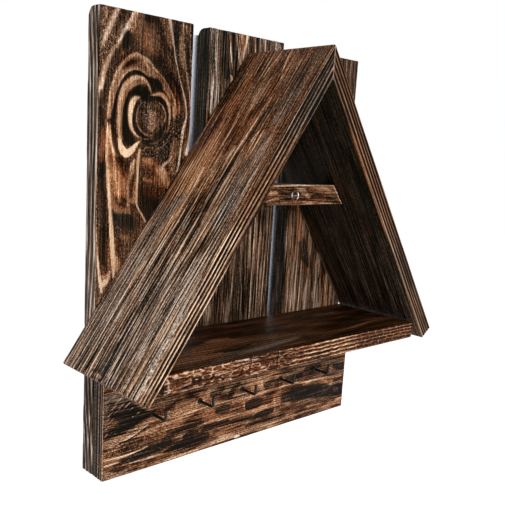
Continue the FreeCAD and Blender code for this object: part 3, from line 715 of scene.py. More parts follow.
KNOT_RINGS = (
    # the outer ring
    ((0.5, 0.9, 0.8), 1.5, 109.5, 116, 2, 111, 104, 2.4, 113.5, 92, 2.8, 117.5, 80, 3.6, 123, 70, 4.4, 130,
     63.5, 5.6, 137, 62, 6.6, 144, 65, 7, 150, 71, 5.6, 154, 76, 3),
    ((0.46, 1, 0.8), 1.5, 155, 71, 1.6, 161, 78, 2.6, 167, 88, 3.6, 171.5, 98, 3.4, 174, 108, 2.6, 174.5,
     118, 1.6),
    ((0.24, 0.9, 1), 3, 124, 68, 1.2, 131, 63, 2.2, 136, 62, 1.2),
    ((0.72, *TAN), (1, 2.5), 145, 60, 1, 148, 67, 1.6, 150, 75, 1),
    ((0.72, *TAN), (2, 1), 112, 112, 0.7, 113.2, 105, 0.8, 115.6, 95, 0.9, 118.8, 85, 1, 123, 77.5, 1, 128,
     71.5, 1, 133, 69.2, 1, 138, 69, 1, 143, 71, 1, 147, 74, 0.7),
    ((0.7, *TAN), (0.6, 1.6), 107.8, 118, 0.8, 108.4, 108, 1, 109.6, 98, 1.1, 111.6, 88, 1.2, 114.6, 78,
     1.3, 119, 68.5, 1.3, 124, 62, 1.4, 130, 57, 1.5, 135, 54.4, 1.5, 138, 54.2, 1.4, 142, 56.6, 1.3, 147,
     59, 1.3, 151, 63, 1.2, 154, 68, 1.1, 157, 71, 0.8),
    ((0.72, *TAN), (0.6, 1.2), 157, 71, 0.7, 161, 75, 0.7, 165.5, 81.5, 0.7, 169.5, 88.5, 0.8, 172.7, 95,
     0.9, 175, 101.5, 0.9, 176.3, 108, 0.8, 176.5, 115, 0.6),
    ((0.6, *TAN), 1, 163, 88, 0.6, 167, 92.5, 0.7, 170.8, 99, 0.7, 173, 106, 0.7, 173.6, 115, 0.5),
    # the dark ring inside it, and the dark heart
    ((0.05, *BLACK), 1, 112.5, 128, 1.6, 113.5, 116, 2, 115, 106, 1.6, 117, 96, 1.3, 120.5, 86.5, 1.5, 125,
     79, 1.7, 130, 74.3, 1.9, 136, 72.8, 2, 141, 74.5, 2.2, 146, 78, 2.2, 151, 83, 3, 154, 89, 3),
    ((0.06, *BLACK), 3, 152, 80, 2, 158, 84, 3.4, 161, 88.5, 2.4),
    ((0.07, *BLACK), 2, 113.5, 130, 2.4, 114.5, 142, 2.4, 117, 152, 2),
    ((0.04, *BLACK), 3, 148, 94, 3.4, 141, 91, 4.4, 134, 90, 4.6, 128.5, 96, 5, 125.5, 105, 5.2, 124.5, 116,
     5, 125.5, 128, 5.4, 128.5, 138, 6, 134, 143, 3),
    ((0.05, *BLACK), 2, 143, 98, 2.4, 150, 98.5, 2.6, 158, 98.5, 2.4, 164, 103, 1.8, 167, 111, 1.6, 167,
     121, 1.6, 163, 130, 2, 156, 137, 2),
    ((0.05, *BLACK), 1.5, 136, 101, 1.2, 134, 107, 1.3, 133.5, 114, 1.4, 134, 122, 1.4, 136.5, 129, 1.6,
     140, 134, 1.6, 146, 139, 2),
    # band C with its bright tip
    ((0.5, 1, 0.5), (2, 3), 151.5, 93, 0.6, 149.5, 87, 1.6, 146, 82, 2.6, 141, 80, 3.6, 135, 81, 4.2, 129,
     85, 4, 125.5, 91, 3.6, 122.5, 99, 3.2, 120.8, 108, 2.8, 120.2, 118, 2.4, 120.4, 130, 2, 121, 139, 2.4),
    ((0.74, *TAN), (0.8, 1.6), 151, 91, 0.5, 149.2, 86, 0.9, 146.5, 81.5, 1.2, 142.5, 78.3, 1.6, 137.5,
     77.4, 1.8, 132, 79, 2, 127, 83, 2.2, 123.3, 89.5, 2.3, 120.9, 97.5, 2.1, 119.4, 106, 1.9, 118.8, 115,
     1.7, 118.8, 125, 1.5, 119.2, 134, 1.4, 120, 141, 2),
    ((0.97, *CREAM), (0.6, 1.2), 119.4, 139, 1.2, 120.6, 145, 2.6, 122.8, 150, 3.6, 126, 153.6, 3.6, 130.2,
     151.5, 3.2, 134, 147.5, 2.4, 137, 144, 1.5, 139.2, 141.8, 0.8),
    # the crescent and the thin rings round the core
    ((0.24, 0.7, 1.4), 3, 147, 106, 5, 149, 114, 8, 151, 122, 8.4, 151, 128, 5),
    ((0.12, 0.4, 1), 2, 142, 106, 1, 141, 114, 2, 142, 122, 1.6),
    ((0.42, 0.8, 1.4), 3, 149, 108, 1.6, 152, 116, 3, 152, 125, 3.4),
    ((0.55, 0.9, 1.2), 2, 148, 127, 1, 152, 129.5, 1.4, 156, 126, 1),
    ((0.6, 0.4, 0.3), 0.5, 144, 102, 0.4, 140.5, 104.3, 0.5, 138, 109, 0.6, 136.8, 115, 0.6, 137, 121, 0.6,
     138.6, 127, 0.6, 141.5, 131.4, 0.6, 145, 134.4, 0.6, 149, 136, 0.5, 153, 135, 0.4),
    ((0.5, 0.4, 0.4), 0.5, 139, 136.5, 0.4, 145, 139.3, 0.5, 152, 138.5, 0.4),
    ((0.66, 0.6, 0.4), 0.6, 160, 103.4, 0.4, 163, 106.8, 0.6, 165, 111.5, 0.7, 165.8, 117, 0.7, 164.6, 121,
     0.5),
    ((0.45, 0.6, 0.9), 0.6, 159, 107, 0.5, 161.5, 112, 0.6, 161.5, 118, 0.5),
    ((0.84, *CREAM), (0.7, 2.4), 139.8, 97.4, 0.8, 136.6, 98, 2, 133.6, 101.2, 2.9, 131.4, 106, 3, 130.3,
     113, 2.7, 130.2, 120, 2.2, 131.2, 126.5, 1.7, 133.2, 131.4, 1.3, 136, 135, 1, 138.6, 137.4, 0.8),
    ((0.72, *CREAM), (2, 0.7), 151, 95.4, 0.5, 155, 94.8, 1, 159, 94.2, 1.6, 163, 95.6, 2.2, 166.4, 99.4,
     1.9, 168.6, 105, 1.5, 169.7, 111, 1.2, 170, 117.5, 1, 169.4, 124, 0.7, 167.6, 131, 0.5),
    # the fine arcs under the core
    ((0.5, 0.5, 0.9), 0.5, 171.5, 122, 0.4, 171.3, 131, 0.5, 168.6, 139, 0.5, 164, 145.4, 0.6, 158, 148.6,
     0.5, 151.5, 147.5, 0.4, 145.5, 148, 0.6, 142, 151.5, 0.4),
    ((0.44, 0.5, 0.9), 0.5, 166, 128, 0.4, 163, 136, 0.5, 157, 142.5, 0.5, 149, 144, 0.4),
    ((0.42, 0.7, 1.2), 0.8, 176, 124, 0.5, 175.5, 135, 0.6, 172, 145, 0.6, 167, 153, 0.6),
    # the long lines on the right
    ((0.78, 0.35, 0.5), (0.6, 1.2), 170, 18, 1.8, 171.3, 27, 1.5, 172.8, 36, 1.2, 174.2, 46, 1, 175.5, 57,
     0.8, 177.5, 67, 0.7, 180, 79, 0.7, 183, 91, 0.8, 185.3, 101, 0.9, 186.4, 110, 0.9, 186.4, 118, 0.9),
    ((0.88, 0.5, 1.5), 0.8, 186.4, 118, 0.8, 184.8, 124, 1.3, 183.2, 131, 1.6, 182, 140, 1.3, 181, 148, 1,
     179.7, 157, 1.1, 178.5, 165, 1, 176, 174, 0.8),
    ((0.6, 0.5), (0.5, 1.4), 183.6, 20, 0.7, 184, 32, 0.7, 184.3, 45, 0.7, 184.8, 56, 0.8, 186.1, 68, 0.8,
     188, 81, 0.8, 189.8, 94, 0.8, 190.7, 106, 0.8, 190.8, 118, 0.8, 190.4, 128, 0.9),
    ((0.78, 0.5, 0.7), (0.8, 1), 190.4, 128, 0.8, 189.4, 137, 1.3, 188.3, 146, 2, 186.4, 154, 1.8),
    ((0.6, 0.4), 0.4, 190.8, 24, 0.5, 190.7, 42, 0.6, 191, 58, 0.6, 192, 76, 0.4),
)


# What is still lighter or darker there once all is laid
KNOT_TOUCHES = (
    ((-0.07,), 14, 132, 58, 10, 150, 66, 16, 168, 88, 12),
    ((0.09,), 4, 99, 90, 3, 98, 102, 3),
    ((-0.1,), 4, 96, 246, 2, 98, 262, 3, 100, 276, 2),
    ((0.16,), 5, 92, 256, 4, 98, 272, 7, 99, 290, 9, 92, 312, 6),
    ((-0.14,), 4, 92, 52, 3, 97, 66, 5, 97, 80, 3),
    ((-0.1,), 6, 150, 16, 6, 162, 26, 9, 170, 42, 9, 166, 56, 6),
    ((-0.12,), 5, 170, 78, 4, 176, 90, 6, 176, 102, 4),
    ((-0.1,), 4, 110, 158, 4, 124, 172, 8, 128, 196, 6),
    ((0.1,), 3, 128, 16, 2, 124, 28, 4, 119, 40, 2),
    ((0, 0.5), 5, 110, 134, 5, 116, 150, 7, 120, 170, 8, 120, 192, 7),
    ((0, -0.4), 6, 118, 214, 6, 124, 230, 8, 124, 252, 7),
    ((0.09,), 4, 91, 256, 3, 96, 272, 6, 98, 290, 8, 92, 312, 5),
    ((0.05,), 4, 94, 154, 3, 94, 176, 4, 92, 202, 4),
    ((-0.07,), 3, 96, 226, 1.6, 96, 238, 2, 96, 252, 1.6),
    ((-0.06,), 4, 112, 158, 3, 122, 172, 6, 128, 190, 5, 122, 208, 4),
    ((-0.07,), 3, 93, 56, 2, 98, 68, 4, 98, 80, 2),
    ((-0.06,), 4, 164, 20, 4, 168, 34, 5, 166, 48, 4),
    ((-0.08,), 4, 172, 78, 3, 178, 90, 4, 180, 104, 3),
    ((-0.08,), 3, 128, 80, 2, 134, 80, 3, 140, 79, 2),
    ((0.07,), 3, 126, 18, 2, 123, 28, 3, 120, 38, 2),
    ((-0.07,), 3, 133, 138, 1.6, 133, 147, 2.4, 132, 155, 1.6),
    ((0.08,), 3, 112, 134, 2, 115, 144, 3, 117, 152, 2),
    ((0.06,), 4, 160, 124, 4, 158, 140, 5, 158, 156, 4),
    ((0.07,), 3, 176, 154, 2, 186, 152, 3, 193, 148, 2),
    ((0.12,), 3, 121, 22, 1.4, 120, 30, 2, 117, 38, 1.4),
    ((0.1,), 3, 104, 82, 1, 102, 90, 2, 101, 98, 1),
    ((0.22, 0.3), 3, 106, 122, 1, 110, 136, 1.8, 114, 150, 1.8, 117, 156, 1),
    ((0.12, 0.2), 4, 156, 142, 2, 157, 150, 3, 156, 158, 2),
    ((0.14,), 3, 190, 100, 1.4, 190, 116, 1.8, 189, 130, 1.8, 187, 138, 1),
    ((0.1, 0.4), 4, 109, 172, 2, 113, 184, 4, 118, 194, 3),
    ((0.1,), 4, 104, 176, 1, 106, 186, 2, 107, 196, 1),
    ((-0.1,), 4, 118, 66, 2, 126, 62, 4, 136, 66, 5, 144, 70, 4),
    ((-0.12,), 3, 164, 94, 1.4, 170, 100, 2, 174, 106, 1.4),
    ((0.1,), 5, 122, 236, 3, 128, 244, 5, 122, 258, 6, 118, 272, 4),
    ((0.16,), 3, 102, 22, 2.4, 102.5, 34, 3, 102, 46, 2),
    ((0.1, 0.3), 4, 124, 50, 1.5, 118, 60, 2.5, 113, 72, 2),
    ((0.08,), 3, 104.6, 104, 1, 105, 118, 1.4, 105, 128, 1),
    ((0.1,), 4, 140, 116, 4, 151, 118, 6, 164, 121, 4),
    ((0.12,), 3, 100.5, 180, 1.6, 100.5, 200, 2.2, 101, 225, 2),
    ((0.16,), 3, 186, 142, 1, 184.6, 150, 2, 183, 158, 1.4),
    ((-0.16, 0.2), 3, 127, 66, 1, 134, 60, 2.4, 140, 60, 1),
    ((-0.12,), 3, 129, 94, 1.4, 136, 92, 2, 142, 94, 1.4),
    ((-0.15, -0.2), 3, 160, 75, 1.4, 166, 82, 2.4, 171, 92, 2),
    ((-0.1,), 5, 148, 18, 3, 156, 20, 4, 162, 26, 3),
    ((-0.12,), 2, 161, 28, 1.4, 163, 38, 2, 164, 48, 1.4),
)


def left_board():
    plank = boxed("back_board_left", (Z, X, Y), (0.9, 0.85, 1), worn=BOARD_WORN, back=4)
    grow(plank, (48, 60), 4.4, 11, drift=5, waves=2.5)
    plank.fill(tone=0.2, warm=0.75, line=0.06, fibre=0.4, speck=1.1)
    plank.mix(plank.facing("low"), tone=0.35, warm=0.05, line=0.55, fibre=0.9, speck=0.2)
    # On the left side: a painted shadow of the roof over s 52 to 100, and lighter over s 120 to 240.
    shaded = ramp(plank.s, 52, 66) * (1 - ramp(plank.s, 86, 100))
    lighter_span = ramp(plank.s, 120, 140) * (1 - ramp(plank.s, 215, 240))
    plank.tone += plank.facing("low") * (0.09 * lighter_span - 0.14 * shaded)
    plank.mix(plank.facing("high"), tone=0.1, warm=0.2, line=0.3)
    plank.mix(plank.facing("end"), tone=0.12, warm=0.2, line=0.2)
    for strokes in (KNOT_GROUND, KNOT_LEGS, KNOT_RINGS):
        lay(plank, strokes)
    lay(plank, KNOT_TOUCHES, TOUCH)
    plank.finish(brushed(plank))


# The outer face of the roof's left panel

ROOF_GROUND = (
    ((0.16, 0.9), 5, 250, 58, 4, 243, 70, 7, 234, 84, 7, 226, 98, 7, 219, 108, 5),
    ((0.36, 1.7), 5, 252, 76, 4, 243, 90, 5, 234, 104, 6, 228, 114, 5),
    ((0.26, 0.3), 4, 241, 86, 2, 237, 93, 3),
    ((0.42, 0.7, 1), 5, 268, 82, 3, 262, 90, 5, 256, 99, 5, 252, 108, 3),
    ((0.12, 0.4), 4, 273, 104, 3, 266, 113, 4, 260, 120, 3),
    ((0.2, 0.7), 5, 262, 100, 3, 256, 110, 4, 251, 116, 3),
    ((0.26, 0.8, 1), 10, 318, 56, 8, 305, 72, 12, 296, 90, 12, 286, 108, 9),
    ((0.3, 0.4, 1.1), 6, 300, 82, 5, 292, 96, 7, 284, 108, 6, 277, 120, 5),
    ((0.36, 0.9), 6, 297, 62, 4, 290, 72, 5, 284, 82, 4),
    ((0.46, 1.6, 1), 5, 262, 134, 4, 256, 143, 6, 250, 152, 5, 246, 160, 3),
    ((0.27, 0.1, 1), 9, 266, 140, 5, 256, 158, 9, 244, 175, 11, 230, 198, 12, 216, 218, 9),
    ((0.42, 0.75, 0.9), 7, 240, 160, 4, 232, 176, 4, 222, 194, 4, 212, 212, 6, 203, 232, 7),
    ((0.22, 0.7, 0.8), 8, 213, 232, 4, 206, 242, 7, 198, 252, 7, 190, 262, 4),
    ((0.18, 1.6), 3, 237, 128, 2, 233, 136, 4, 229, 144, 4, 224, 152, 3),
    ((0.12, 1.4), 3, 209, 174, 2, 206, 184, 4, 201, 195, 4, 196, 205, 3, 192, 216, 3),
    ((0.3, 1.3, 0.5), 8, 206, 140, 6, 196, 154, 8, 186, 168, 8, 176, 184, 8, 168, 198, 6),
    ((0.38, 0.8), 4, 202, 148, 3, 194, 160, 4, 185, 174, 4),
    ((0.46, 1.8, None, 0.3), 4, 222, 124, 3, 214, 138, 6, 206, 152, 7, 198, 167, 7, 190, 182, 6, 182, 196,
     5),
    ((0.46, 0.1, 1.3), 3, 184, 192, 2, 178, 202, 5, 171, 211, 5, 165, 219, 2),
    ((0.24, 0.6), 4, 196, 214, 3, 188, 226, 5, 180, 239, 5, 173, 250, 4),
    ((0.42, 0.15, 1.3), 3, 188, 219, 2, 184, 226, 3),
    ((0.1, 0.2), 3, 199, 224, 1.6, 194, 232, 3, 188, 241, 3, 182, 250, 1.6),
    ((0.24, 0.25, 1.1), 6, 167, 258, 4, 159, 275, 7, 150, 294, 9, 139, 316, 10, 127, 338, 10, 115, 356, 10,
     105, 372, 9),
    ((0.34, 0.7, 0.8), 6, 148, 318, 2, 137, 336, 3, 124, 354, 2),
    ((0.42, 0.4, 1.2), 8, 180, 286, 6, 168, 310, 8, 156, 335, 9, 142, 360, 9, 128, 385, 8),
    ((0.3, 0.3, 1.2), 8, 196, 262, 5, 186, 282, 6, 172, 305, 5, 160, 326, 6, 148, 350, 6),
    ((0.52, 0.8, 1), 6, 170, 320, 2, 162, 334, 3, 152, 350, 3, 142, 368, 4, 130, 388, 4),
    ((0.38, 0.35, None, 0.42), 4, 168, 210, 4, 156, 229, 8, 144, 249, 9, 133, 268, 10, 121, 288, 11, 109,
     309, 12, 98, 330, 13, 88, 348, 14, 82, 360, 14),
    ((0.46, 2, None, 0.3), 4, 186, 200, 3, 177, 212, 5, 168, 226, 5, 160, 240, 3),
    ((0.5, 0.8), 4, 145, 262, 3, 138, 274, 4, 131, 286, 3),
    ((0.46, 0.9), 4, 140, 286, 3, 134, 297, 4, 127, 309, 3),
    ((0.36, 0.3, None, 0.45), 3, 186, 246, 2, 175, 264, 3, 163, 285, 4, 150, 308, 5, 139, 328, 6, 127, 349,
     7, 117, 367, 8, 111, 380, 8),
    # the last band, grey along the rounded back arris, is a painted tint of the bluish light on that rounding
    ((0.22, 0, 0.8, 0.1), (1.5, 3), 206, 126, 1, 196, 142, 1.6, 185, 158, 1.6, 172, 178, 2.6, 160, 197, 3,
     149, 215, 3.4, 138, 233, 3.4, 126, 253, 3.4, 114, 274, 3.4, 102, 294, 3.4, 90, 315, 3.4, 78, 336, 3.4,
     68, 354, 3),
)

# Fine lines, all of the same sharpness, so that their rows give none
ROOF_LINES = (
    ((0.62, 0.8), 269, 51, 0.5, 263, 60, 0.6, 258, 68, 0.6, 254, 77, 0.5),
    ((0.64, 0.85), 277, 51, 0.6, 270, 62, 0.8, 264, 72, 0.7, 257, 82, 0.6, 250, 94, 0.6, 244, 106, 0.5),
    ((0.66, 0.8), 283, 50, 0.7, 276, 60, 0.8, 270, 67, 0.7, 263, 77, 0.7, 258, 84, 0.4),
    ((0.08, 0.3), 272, 69, 0.5, 266, 75, 0.8, 260, 82, 0.6),
    ((0.62, 0.95), 293, 50, 0.9, 289, 56, 1, 285, 64, 0.9, 282.5, 72, 0.7, 281, 79, 0.5),
    ((0.56, 0.6), 277, 73, 0.7, 272, 78, 0.8, 267, 82, 0.5),
    ((0.62, 0.9), 274, 94, 0.5, 269, 101, 0.8, 264, 108, 0.7, 259, 115, 0.5),
    ((0.52, 0.9), 272, 96, 0.4, 267, 103, 0.5, 262, 110, 0.4),
    ((0.5, 0.5), 290, 84, 0.4, 284, 94, 0.5, 277, 104, 0.5, 270, 115, 0.4, 263, 128, 0.4),
    ((0.56, 0.9), 258, 78, 0.5, 252, 88, 0.7, 246, 99, 0.7, 240, 110, 0.7, 235, 121, 0.8, 228, 135, 0.8,
     221, 148, 0.8, 213, 162, 0.8, 207, 174, 0.6),
    ((0.1, 0.6), 248, 92, 0.5, 242, 103, 0.6, 237, 114, 0.5),
    ((0.6, 0.95), 233, 112, 0.5, 227, 124, 0.8, 220, 137, 0.8, 213, 150, 0.8, 205, 164, 0.7),
    ((0.55, 0.9), 229, 111, 0.4, 222, 124, 0.6, 215, 137, 0.6, 207, 151, 0.6),
    ((0.58, 0.9), 225, 147, 0.5, 217, 161, 0.8, 208, 177, 0.8, 200, 192, 0.7, 193, 206, 0.7, 184, 220, 0.6,
     175, 236, 0.6, 164, 254, 0.5),
    ((0.1, 0.6), 222, 147, 0.5, 214, 161, 0.8, 206, 174, 0.9, 198, 187, 0.7),
    ((0.64, 1), 204, 167, 0.6, 198, 178, 1.1, 193, 188, 1.3, 187, 198, 1.3, 182, 206, 1.2, 176, 215, 1.2,
     171, 223, 0.9),
    ((0.6, 1), 197, 174, 0.5, 190, 186, 0.7, 184, 196, 0.7),
    ((0.07, 0.4), 206, 180, 0.6, 198, 193, 1.2, 190, 206, 1.6, 182, 219, 1.4, 174, 233, 1, 165, 248, 0.6),
    ((0.78, 0.45), 259, 131, 0.5, 256, 134.5, 0.9, 252.5, 139, 0.8, 250, 144, 0.4),
    ((0.62, 0.6), 219, 178, 0.8, 216, 181, 1, 213, 184, 0.6),
    ((0.46, 0.6), 215, 184, 1.2, 211, 189, 2, 207, 194, 1.2),
    ((0.66, 0.9), 235, 146, 1, 230, 154, 1.6, 226, 161, 1, 222, 169, 0.7),
    ((0.6, 1), 211, 190, 0.8, 208, 196, 1.2, 205, 201, 0.8),
    # the long light line, with dark ones and finer light ones beside it
    ((0.06, 0.3), 262, 117, 0.5, 254, 129, 1.2, 245, 142, 1.4, 236, 156, 1.2, 228, 169, 1.2, 220, 182, 1.3,
     213, 194, 1.3, 206, 206, 1.2, 199, 219, 1.2, 190, 235, 1, 181, 251, 0.8),
    ((0.68, 0.75), 262, 113, 0.4, 256, 121, 0.8, 250, 130, 0.9, 244, 138.5, 0.8, 238, 148, 0.9, 232, 158,
     0.9, 226, 168, 0.8, 221, 177, 0.8, 215, 188, 0.8, 209, 198, 0.8, 203, 208, 0.9, 196, 221, 0.8, 189,
     233, 0.8, 183, 243, 1.1, 176, 256, 1.1, 169, 268, 0.8, 161, 281, 0.7, 153, 295, 0.7, 146, 308, 0.8,
     138, 322, 0.8, 131, 335, 0.9, 124, 347, 1, 117, 360, 1, 108, 378, 1.1),
    ((0.56, 0.5), 250, 141, 0.4, 243, 152, 0.5, 235, 165, 0.6, 227, 179, 0.6, 220, 191, 0.7, 212, 204, 0.6,
     205, 217, 0.5, 196, 231, 0.4, 186, 249, 0.5, 176, 266, 0.7, 165, 285, 0.7, 154, 304, 0.7, 143, 323,
     0.7, 133, 341, 0.8, 123, 359, 0.8, 112, 380, 0.8),
    ((0.05, 0.3), 183, 249, 0.5, 172, 268, 0.8, 162, 285, 0.8, 150, 306, 0.9, 140, 323, 0.9, 128, 345, 1,
     119, 361, 1, 110, 380, 1),
    ((0.5, 0.5), 180, 266, 0.4, 170, 284, 0.6, 158, 305, 0.6, 148, 324, 0.6, 138, 342, 0.6, 128, 361, 0.6,
     117, 384, 0.6),
    # the bundle of fine lines towards the back
    ((0.66, 0.7), 175, 214, 0.5, 165, 229, 0.7, 155, 244, 0.7, 145, 259, 0.8, 134, 277, 0.8, 122, 297, 0.7,
     110, 318, 0.7, 99, 338, 0.7, 89, 356, 0.7, 83, 367, 0.7),
    ((0.05, 0.3), 177, 216, 0.4, 166, 233, 0.6, 156, 248, 0.7, 146, 264, 0.7, 135, 282, 0.7, 123, 302, 0.7,
     112, 322, 0.7, 101, 342, 0.7, 91, 360, 0.7, 86, 369, 0.7),
    ((0.7, 0.6), 179, 220, 0.5, 168, 236, 0.7, 158, 252, 0.8, 148, 268, 0.8, 138, 285, 0.8, 126, 304, 0.8,
     115, 324, 0.8, 104, 344, 0.8, 94, 361, 0.8, 89, 371, 0.8),
    ((0.06, 0.3), 182, 222, 0.4, 170, 240, 0.8, 160, 256, 0.8, 150, 272, 0.9, 140, 289, 0.9, 129, 308, 0.9,
     118, 327, 0.9, 107, 347, 0.9, 97, 365, 0.9, 92, 373, 0.9),
    ((0.62, 0.7), 186, 224, 0.4, 174, 243, 0.6, 164, 259, 0.7, 153, 276, 0.7, 143, 294, 0.7, 131, 313, 0.6,
     120, 333, 0.6, 109, 352, 0.6, 98, 371, 0.6),
    ((0.6, 0.45), 152, 236, 0.4, 142, 252, 0.5, 130, 271, 0.6, 118, 291, 0.6, 106, 312, 0.6, 94, 333, 0.6,
     82, 354, 0.6, 77, 363, 0.6),
    ((0.07, 0.3), 150, 236, 0.4, 139, 254, 0.5, 127, 274, 0.6, 115, 294, 0.7, 103, 314, 0.7, 91, 335, 0.7,
     80, 355, 0.7),
    ((0.5, 0.4), 136, 252, 0.4, 124, 272, 0.5, 112, 292, 0.5, 100, 313, 0.5, 88, 333, 0.5, 74, 358, 0.5),
    # painted highlights along the rounded back border, a dark line beside them, and a light warm spot at the
    # foot
    ((0.62, 0), 172, 178, 0.3, 162, 193, 0.5, 152, 209, 0.6, 142, 226, 0.7, 134, 240, 0.7, 125, 255, 0.6,
     115, 272, 0.5, 106, 288, 0.5, 97, 303, 0.5),
    ((0.56, 0), 118, 262, 0.3, 108, 280, 0.5, 98, 297, 0.6, 88, 315, 0.6, 78, 333, 0.5, 69, 349, 0.4),
    ((0.1, 0.1), 150, 221, 0.3, 140, 238, 0.4, 128, 258, 0.4, 116, 278, 0.4, 104, 299, 0.4),
    ((0.55, 1), 92, 372, 0.8, 97, 375.5, 1.8, 101, 377.5, 1.4),
)


def edge_rings(plank, side, depths, seed, wobble=0.8, ragged=0.0):
    """Ring lines along an edge, at the depths where they are wanted; ragged bends them sharply."""
    places = np.concatenate([[depths[0] - 4], depths, [depths[-1] + 4]])
    rings = np.arange(len(places)) + LATE_MIDDLE
    depth = plank.d + wobble * 2 * (noise(seed, plank.s / 60, plank.d / 9) - 0.5) \
        + 0.3 * wobble * (noise(seed + 1, plank.s / 9, plank.d / 3) - 0.5) \
        + ragged * (noise(seed + 2, plank.s / 4.5, plank.d / 5) - 0.5)
    edge = plank.facing(side) > 0.3
    plank.ring[edge] = np.interp(depth, places, rings)[edge]


ROOF_TOUCHES = (
    ((-0.08,), 6, 264, 102, 5, 250, 122, 8, 236, 142, 7, 222, 152, 4),
    ((-0.08,), 6, 206, 208, 5, 190, 230, 9, 174, 254, 9, 160, 272, 6),
    ((-0.07,), 6, 152, 288, 4, 138, 308, 8, 124, 328, 6),
    ((0.12,), 5, 142, 250, 3, 136, 266, 5, 128, 280, 3),
    ((0.1,), 6, 196, 290, 4, 182, 316, 7, 168, 340, 6, 158, 356, 4),
    ((0.09, 0.2), 2, 272, 142, 0.6, 262, 160, 1.6, 250, 180, 1.6, 238, 202, 1.6, 228, 220, 0.6),
    ((0.13,), 6, 204, 256, 4, 190, 284, 8, 176, 310, 9, 162, 338, 7),
    ((0.1,), 5, 150, 346, 3, 138, 356, 5, 128, 364, 4),
    ((0.08,), 5, 112, 262, 3, 100, 284, 6, 88, 306, 6, 84, 322, 4),
    ((0.06, 0.3), 8, 296, 62, 8, 272, 86, 10, 246, 122, 12, 222, 160, 12, 206, 188, 9),
    ((0.08, 0.3), 4, 268, 138, 3, 252, 160, 5, 240, 180, 4),
    ((-0.08,), 6, 206, 194, 4, 190, 214, 8, 176, 236, 9, 160, 260, 8),
    ((0.08,), 4, 228, 198, 3, 219, 214, 4, 208, 234, 3),
    ((0.07,), 4, 200, 248, 3, 190, 264, 4, 178, 282, 3),
    ((-0.06,), 5, 152, 342, 4, 144, 362, 6, 134, 386, 5),
    ((-0.05,), 5, 256, 108, 3, 246, 124, 5, 236, 142, 4),
    ((-0.04,), 4, 132, 296, 3, 122, 314, 4, 114, 330, 3),
    ((0.07,), 6, 276, 134, 3, 262, 156, 7, 246, 182, 8, 230, 206, 6),
    ((0.05, 0.2), 6, 232, 122, 2, 220, 144, 4, 206, 168, 5, 192, 192, 4),
    ((0, 0.35), 8, 240, 90, 10, 226, 114, 14, 210, 142, 16, 194, 168, 16, 180, 192, 12),
    ((0.05, 0.5), 6, 222, 140, 3, 212, 158, 5, 202, 176, 5, 192, 192, 3),
    ((0.12,), 4, 214, 172, 2, 208, 182, 3, 203, 191, 2),
    ((-0.1,), 6, 174, 202, 3, 164, 216, 5, 154, 232, 4),
    ((0.16,), 6, 108, 276, 4, 98, 294, 6, 90, 312, 5),
    ((0.08,), 6, 134, 250, 3, 122, 268, 5, 112, 286, 4),
    ((0.14,), 6, 162, 318, 3, 152, 336, 5, 142, 354, 4),
    ((0.1, -0.2), 6, 192, 274, 4, 182, 292, 6, 170, 312, 5),
    ((0.12,), 5, 188, 314, 3, 180, 330, 4, 172, 344, 3),
    ((0.08, 0.3), 4, 268, 140, 2, 258, 156, 4, 246, 176, 4, 236, 194, 2),
)


def left_roof():
    plank = roof("left", (0.9, 0.95, 0.7), low=3, start=2, back=3)
    s, t = plank.s, plank.t
    plank.ring = (t + 5 * noise(41, s / 90, t / 60) + 3.5 * noise(42, s / 120, t / 9)) / 3.9
    low = ramp(s, 90, 210)
    plank.tone = 0.28 + 0.1 * low
    plank.warm = 1.25 - 0.65 * low
    plank.line = 0.08 + (0.15 + 0.3 * low) * ramp(noise(46, s / 70, t / 14), 0.25, 0.6)
    plank.fibre = 0.75 + 0.35 * low
    plank.speck[:] = 1.1
    lay(plank, ROOF_GROUND)
    lay(plank, [((*values, 0.5, 0.0), 0.7, *points) for values, *points in ROOF_LINES])
    lay(plank, ROOF_TOUCHES, TOUCH)
    edge = plank.facing("high")
    rub = noise(44, s / 14, t / 3) - 0.5
    worn = ramp(s, 235, 275) * (1 - 0.5 * ramp(s, 322, 334)) * ramp(t + 5 * rub, 105, 108)
    chips = ramp(noise(45, s / 6, t / 2.2), 0.3, 0.6)
    plank.mix(worn * (1 - edge) * (0.3 + 0.5 * chips), tone=0.5, warm=0.08, speck=1.7, line=0.0)
    plank.mix(worn * chips * ramp(t + 4 * rub, 108, 110), tone=0.66, warm=0.05)
    edge_rings(plank, "high", (1.2, 5, 8.5, 12, 16.6), 43)
    uneven = noise(47, s / 14, plank.d / 3)
    plank.mix(edge, tone=0.12 + 0.16 * uneven, warm=0.6 + 0.5 * uneven, line=0.7 + 0.6 * uneven)
    plank.mix(edge, fibre=0.5, speck=0.5)
    plank.mix(edge * ramp(s, 70, 100) * (1 - ramp(s, 170, 210)), tone=0.14, line=0.55)
    plank.mix(edge * (1 - ramp(s, 60, 130)), tone=0.08, line=0.62, warm=0.2)
    # On the edge between s 60 and 240: a light line from 12 mm deep, then a painted shade band from 14 mm
    # deep to the inner arris.
    inner = edge * ramp(plank.d, 11.5, 12.5) * ramp(s, 60, 100) * (1 - ramp(s, 190, 240))
    plank.mix(inner, tone=0.56, line=0.2, warm=0.8)
    plank.mix(inner * ramp(plank.d, 13.5, 14.5), tone=0.07, line=0.15)
    plank.mix(edge * ramp(s, 205, 235) * (1 - ramp(s, 290, 310)), tone=0.2 + 0.2 * uneven)
    outer = edge * ramp(s, 235, 275) * (1 - ramp(plank.d + 2 * rub, 2.2, 4.2) * (1 - 0.4 * ramp(s, 300, 340)))
    plank.mix(outer * (0.3 + 0.6 * chips), tone=0.64, line=0.0, warm=0.1, speck=1.2)
    plank.mix(plank.facing("end"), tone=0.3, warm=0.5, line=0.3)
    plank.mix(plank.facing("back"), tone=0.07, warm=0.4, line=0.1)
    outside = plank.facing("front")
    plank.tone += outside * (0.28 * (plank.tone - 0.3) + 0.01 * low)
    plank.mix(edge * plank.mitre, tone=0.78, line=0.0, warm=0.1)
    plank.finish(brushed(plank), coarse=0.8)


# The rail

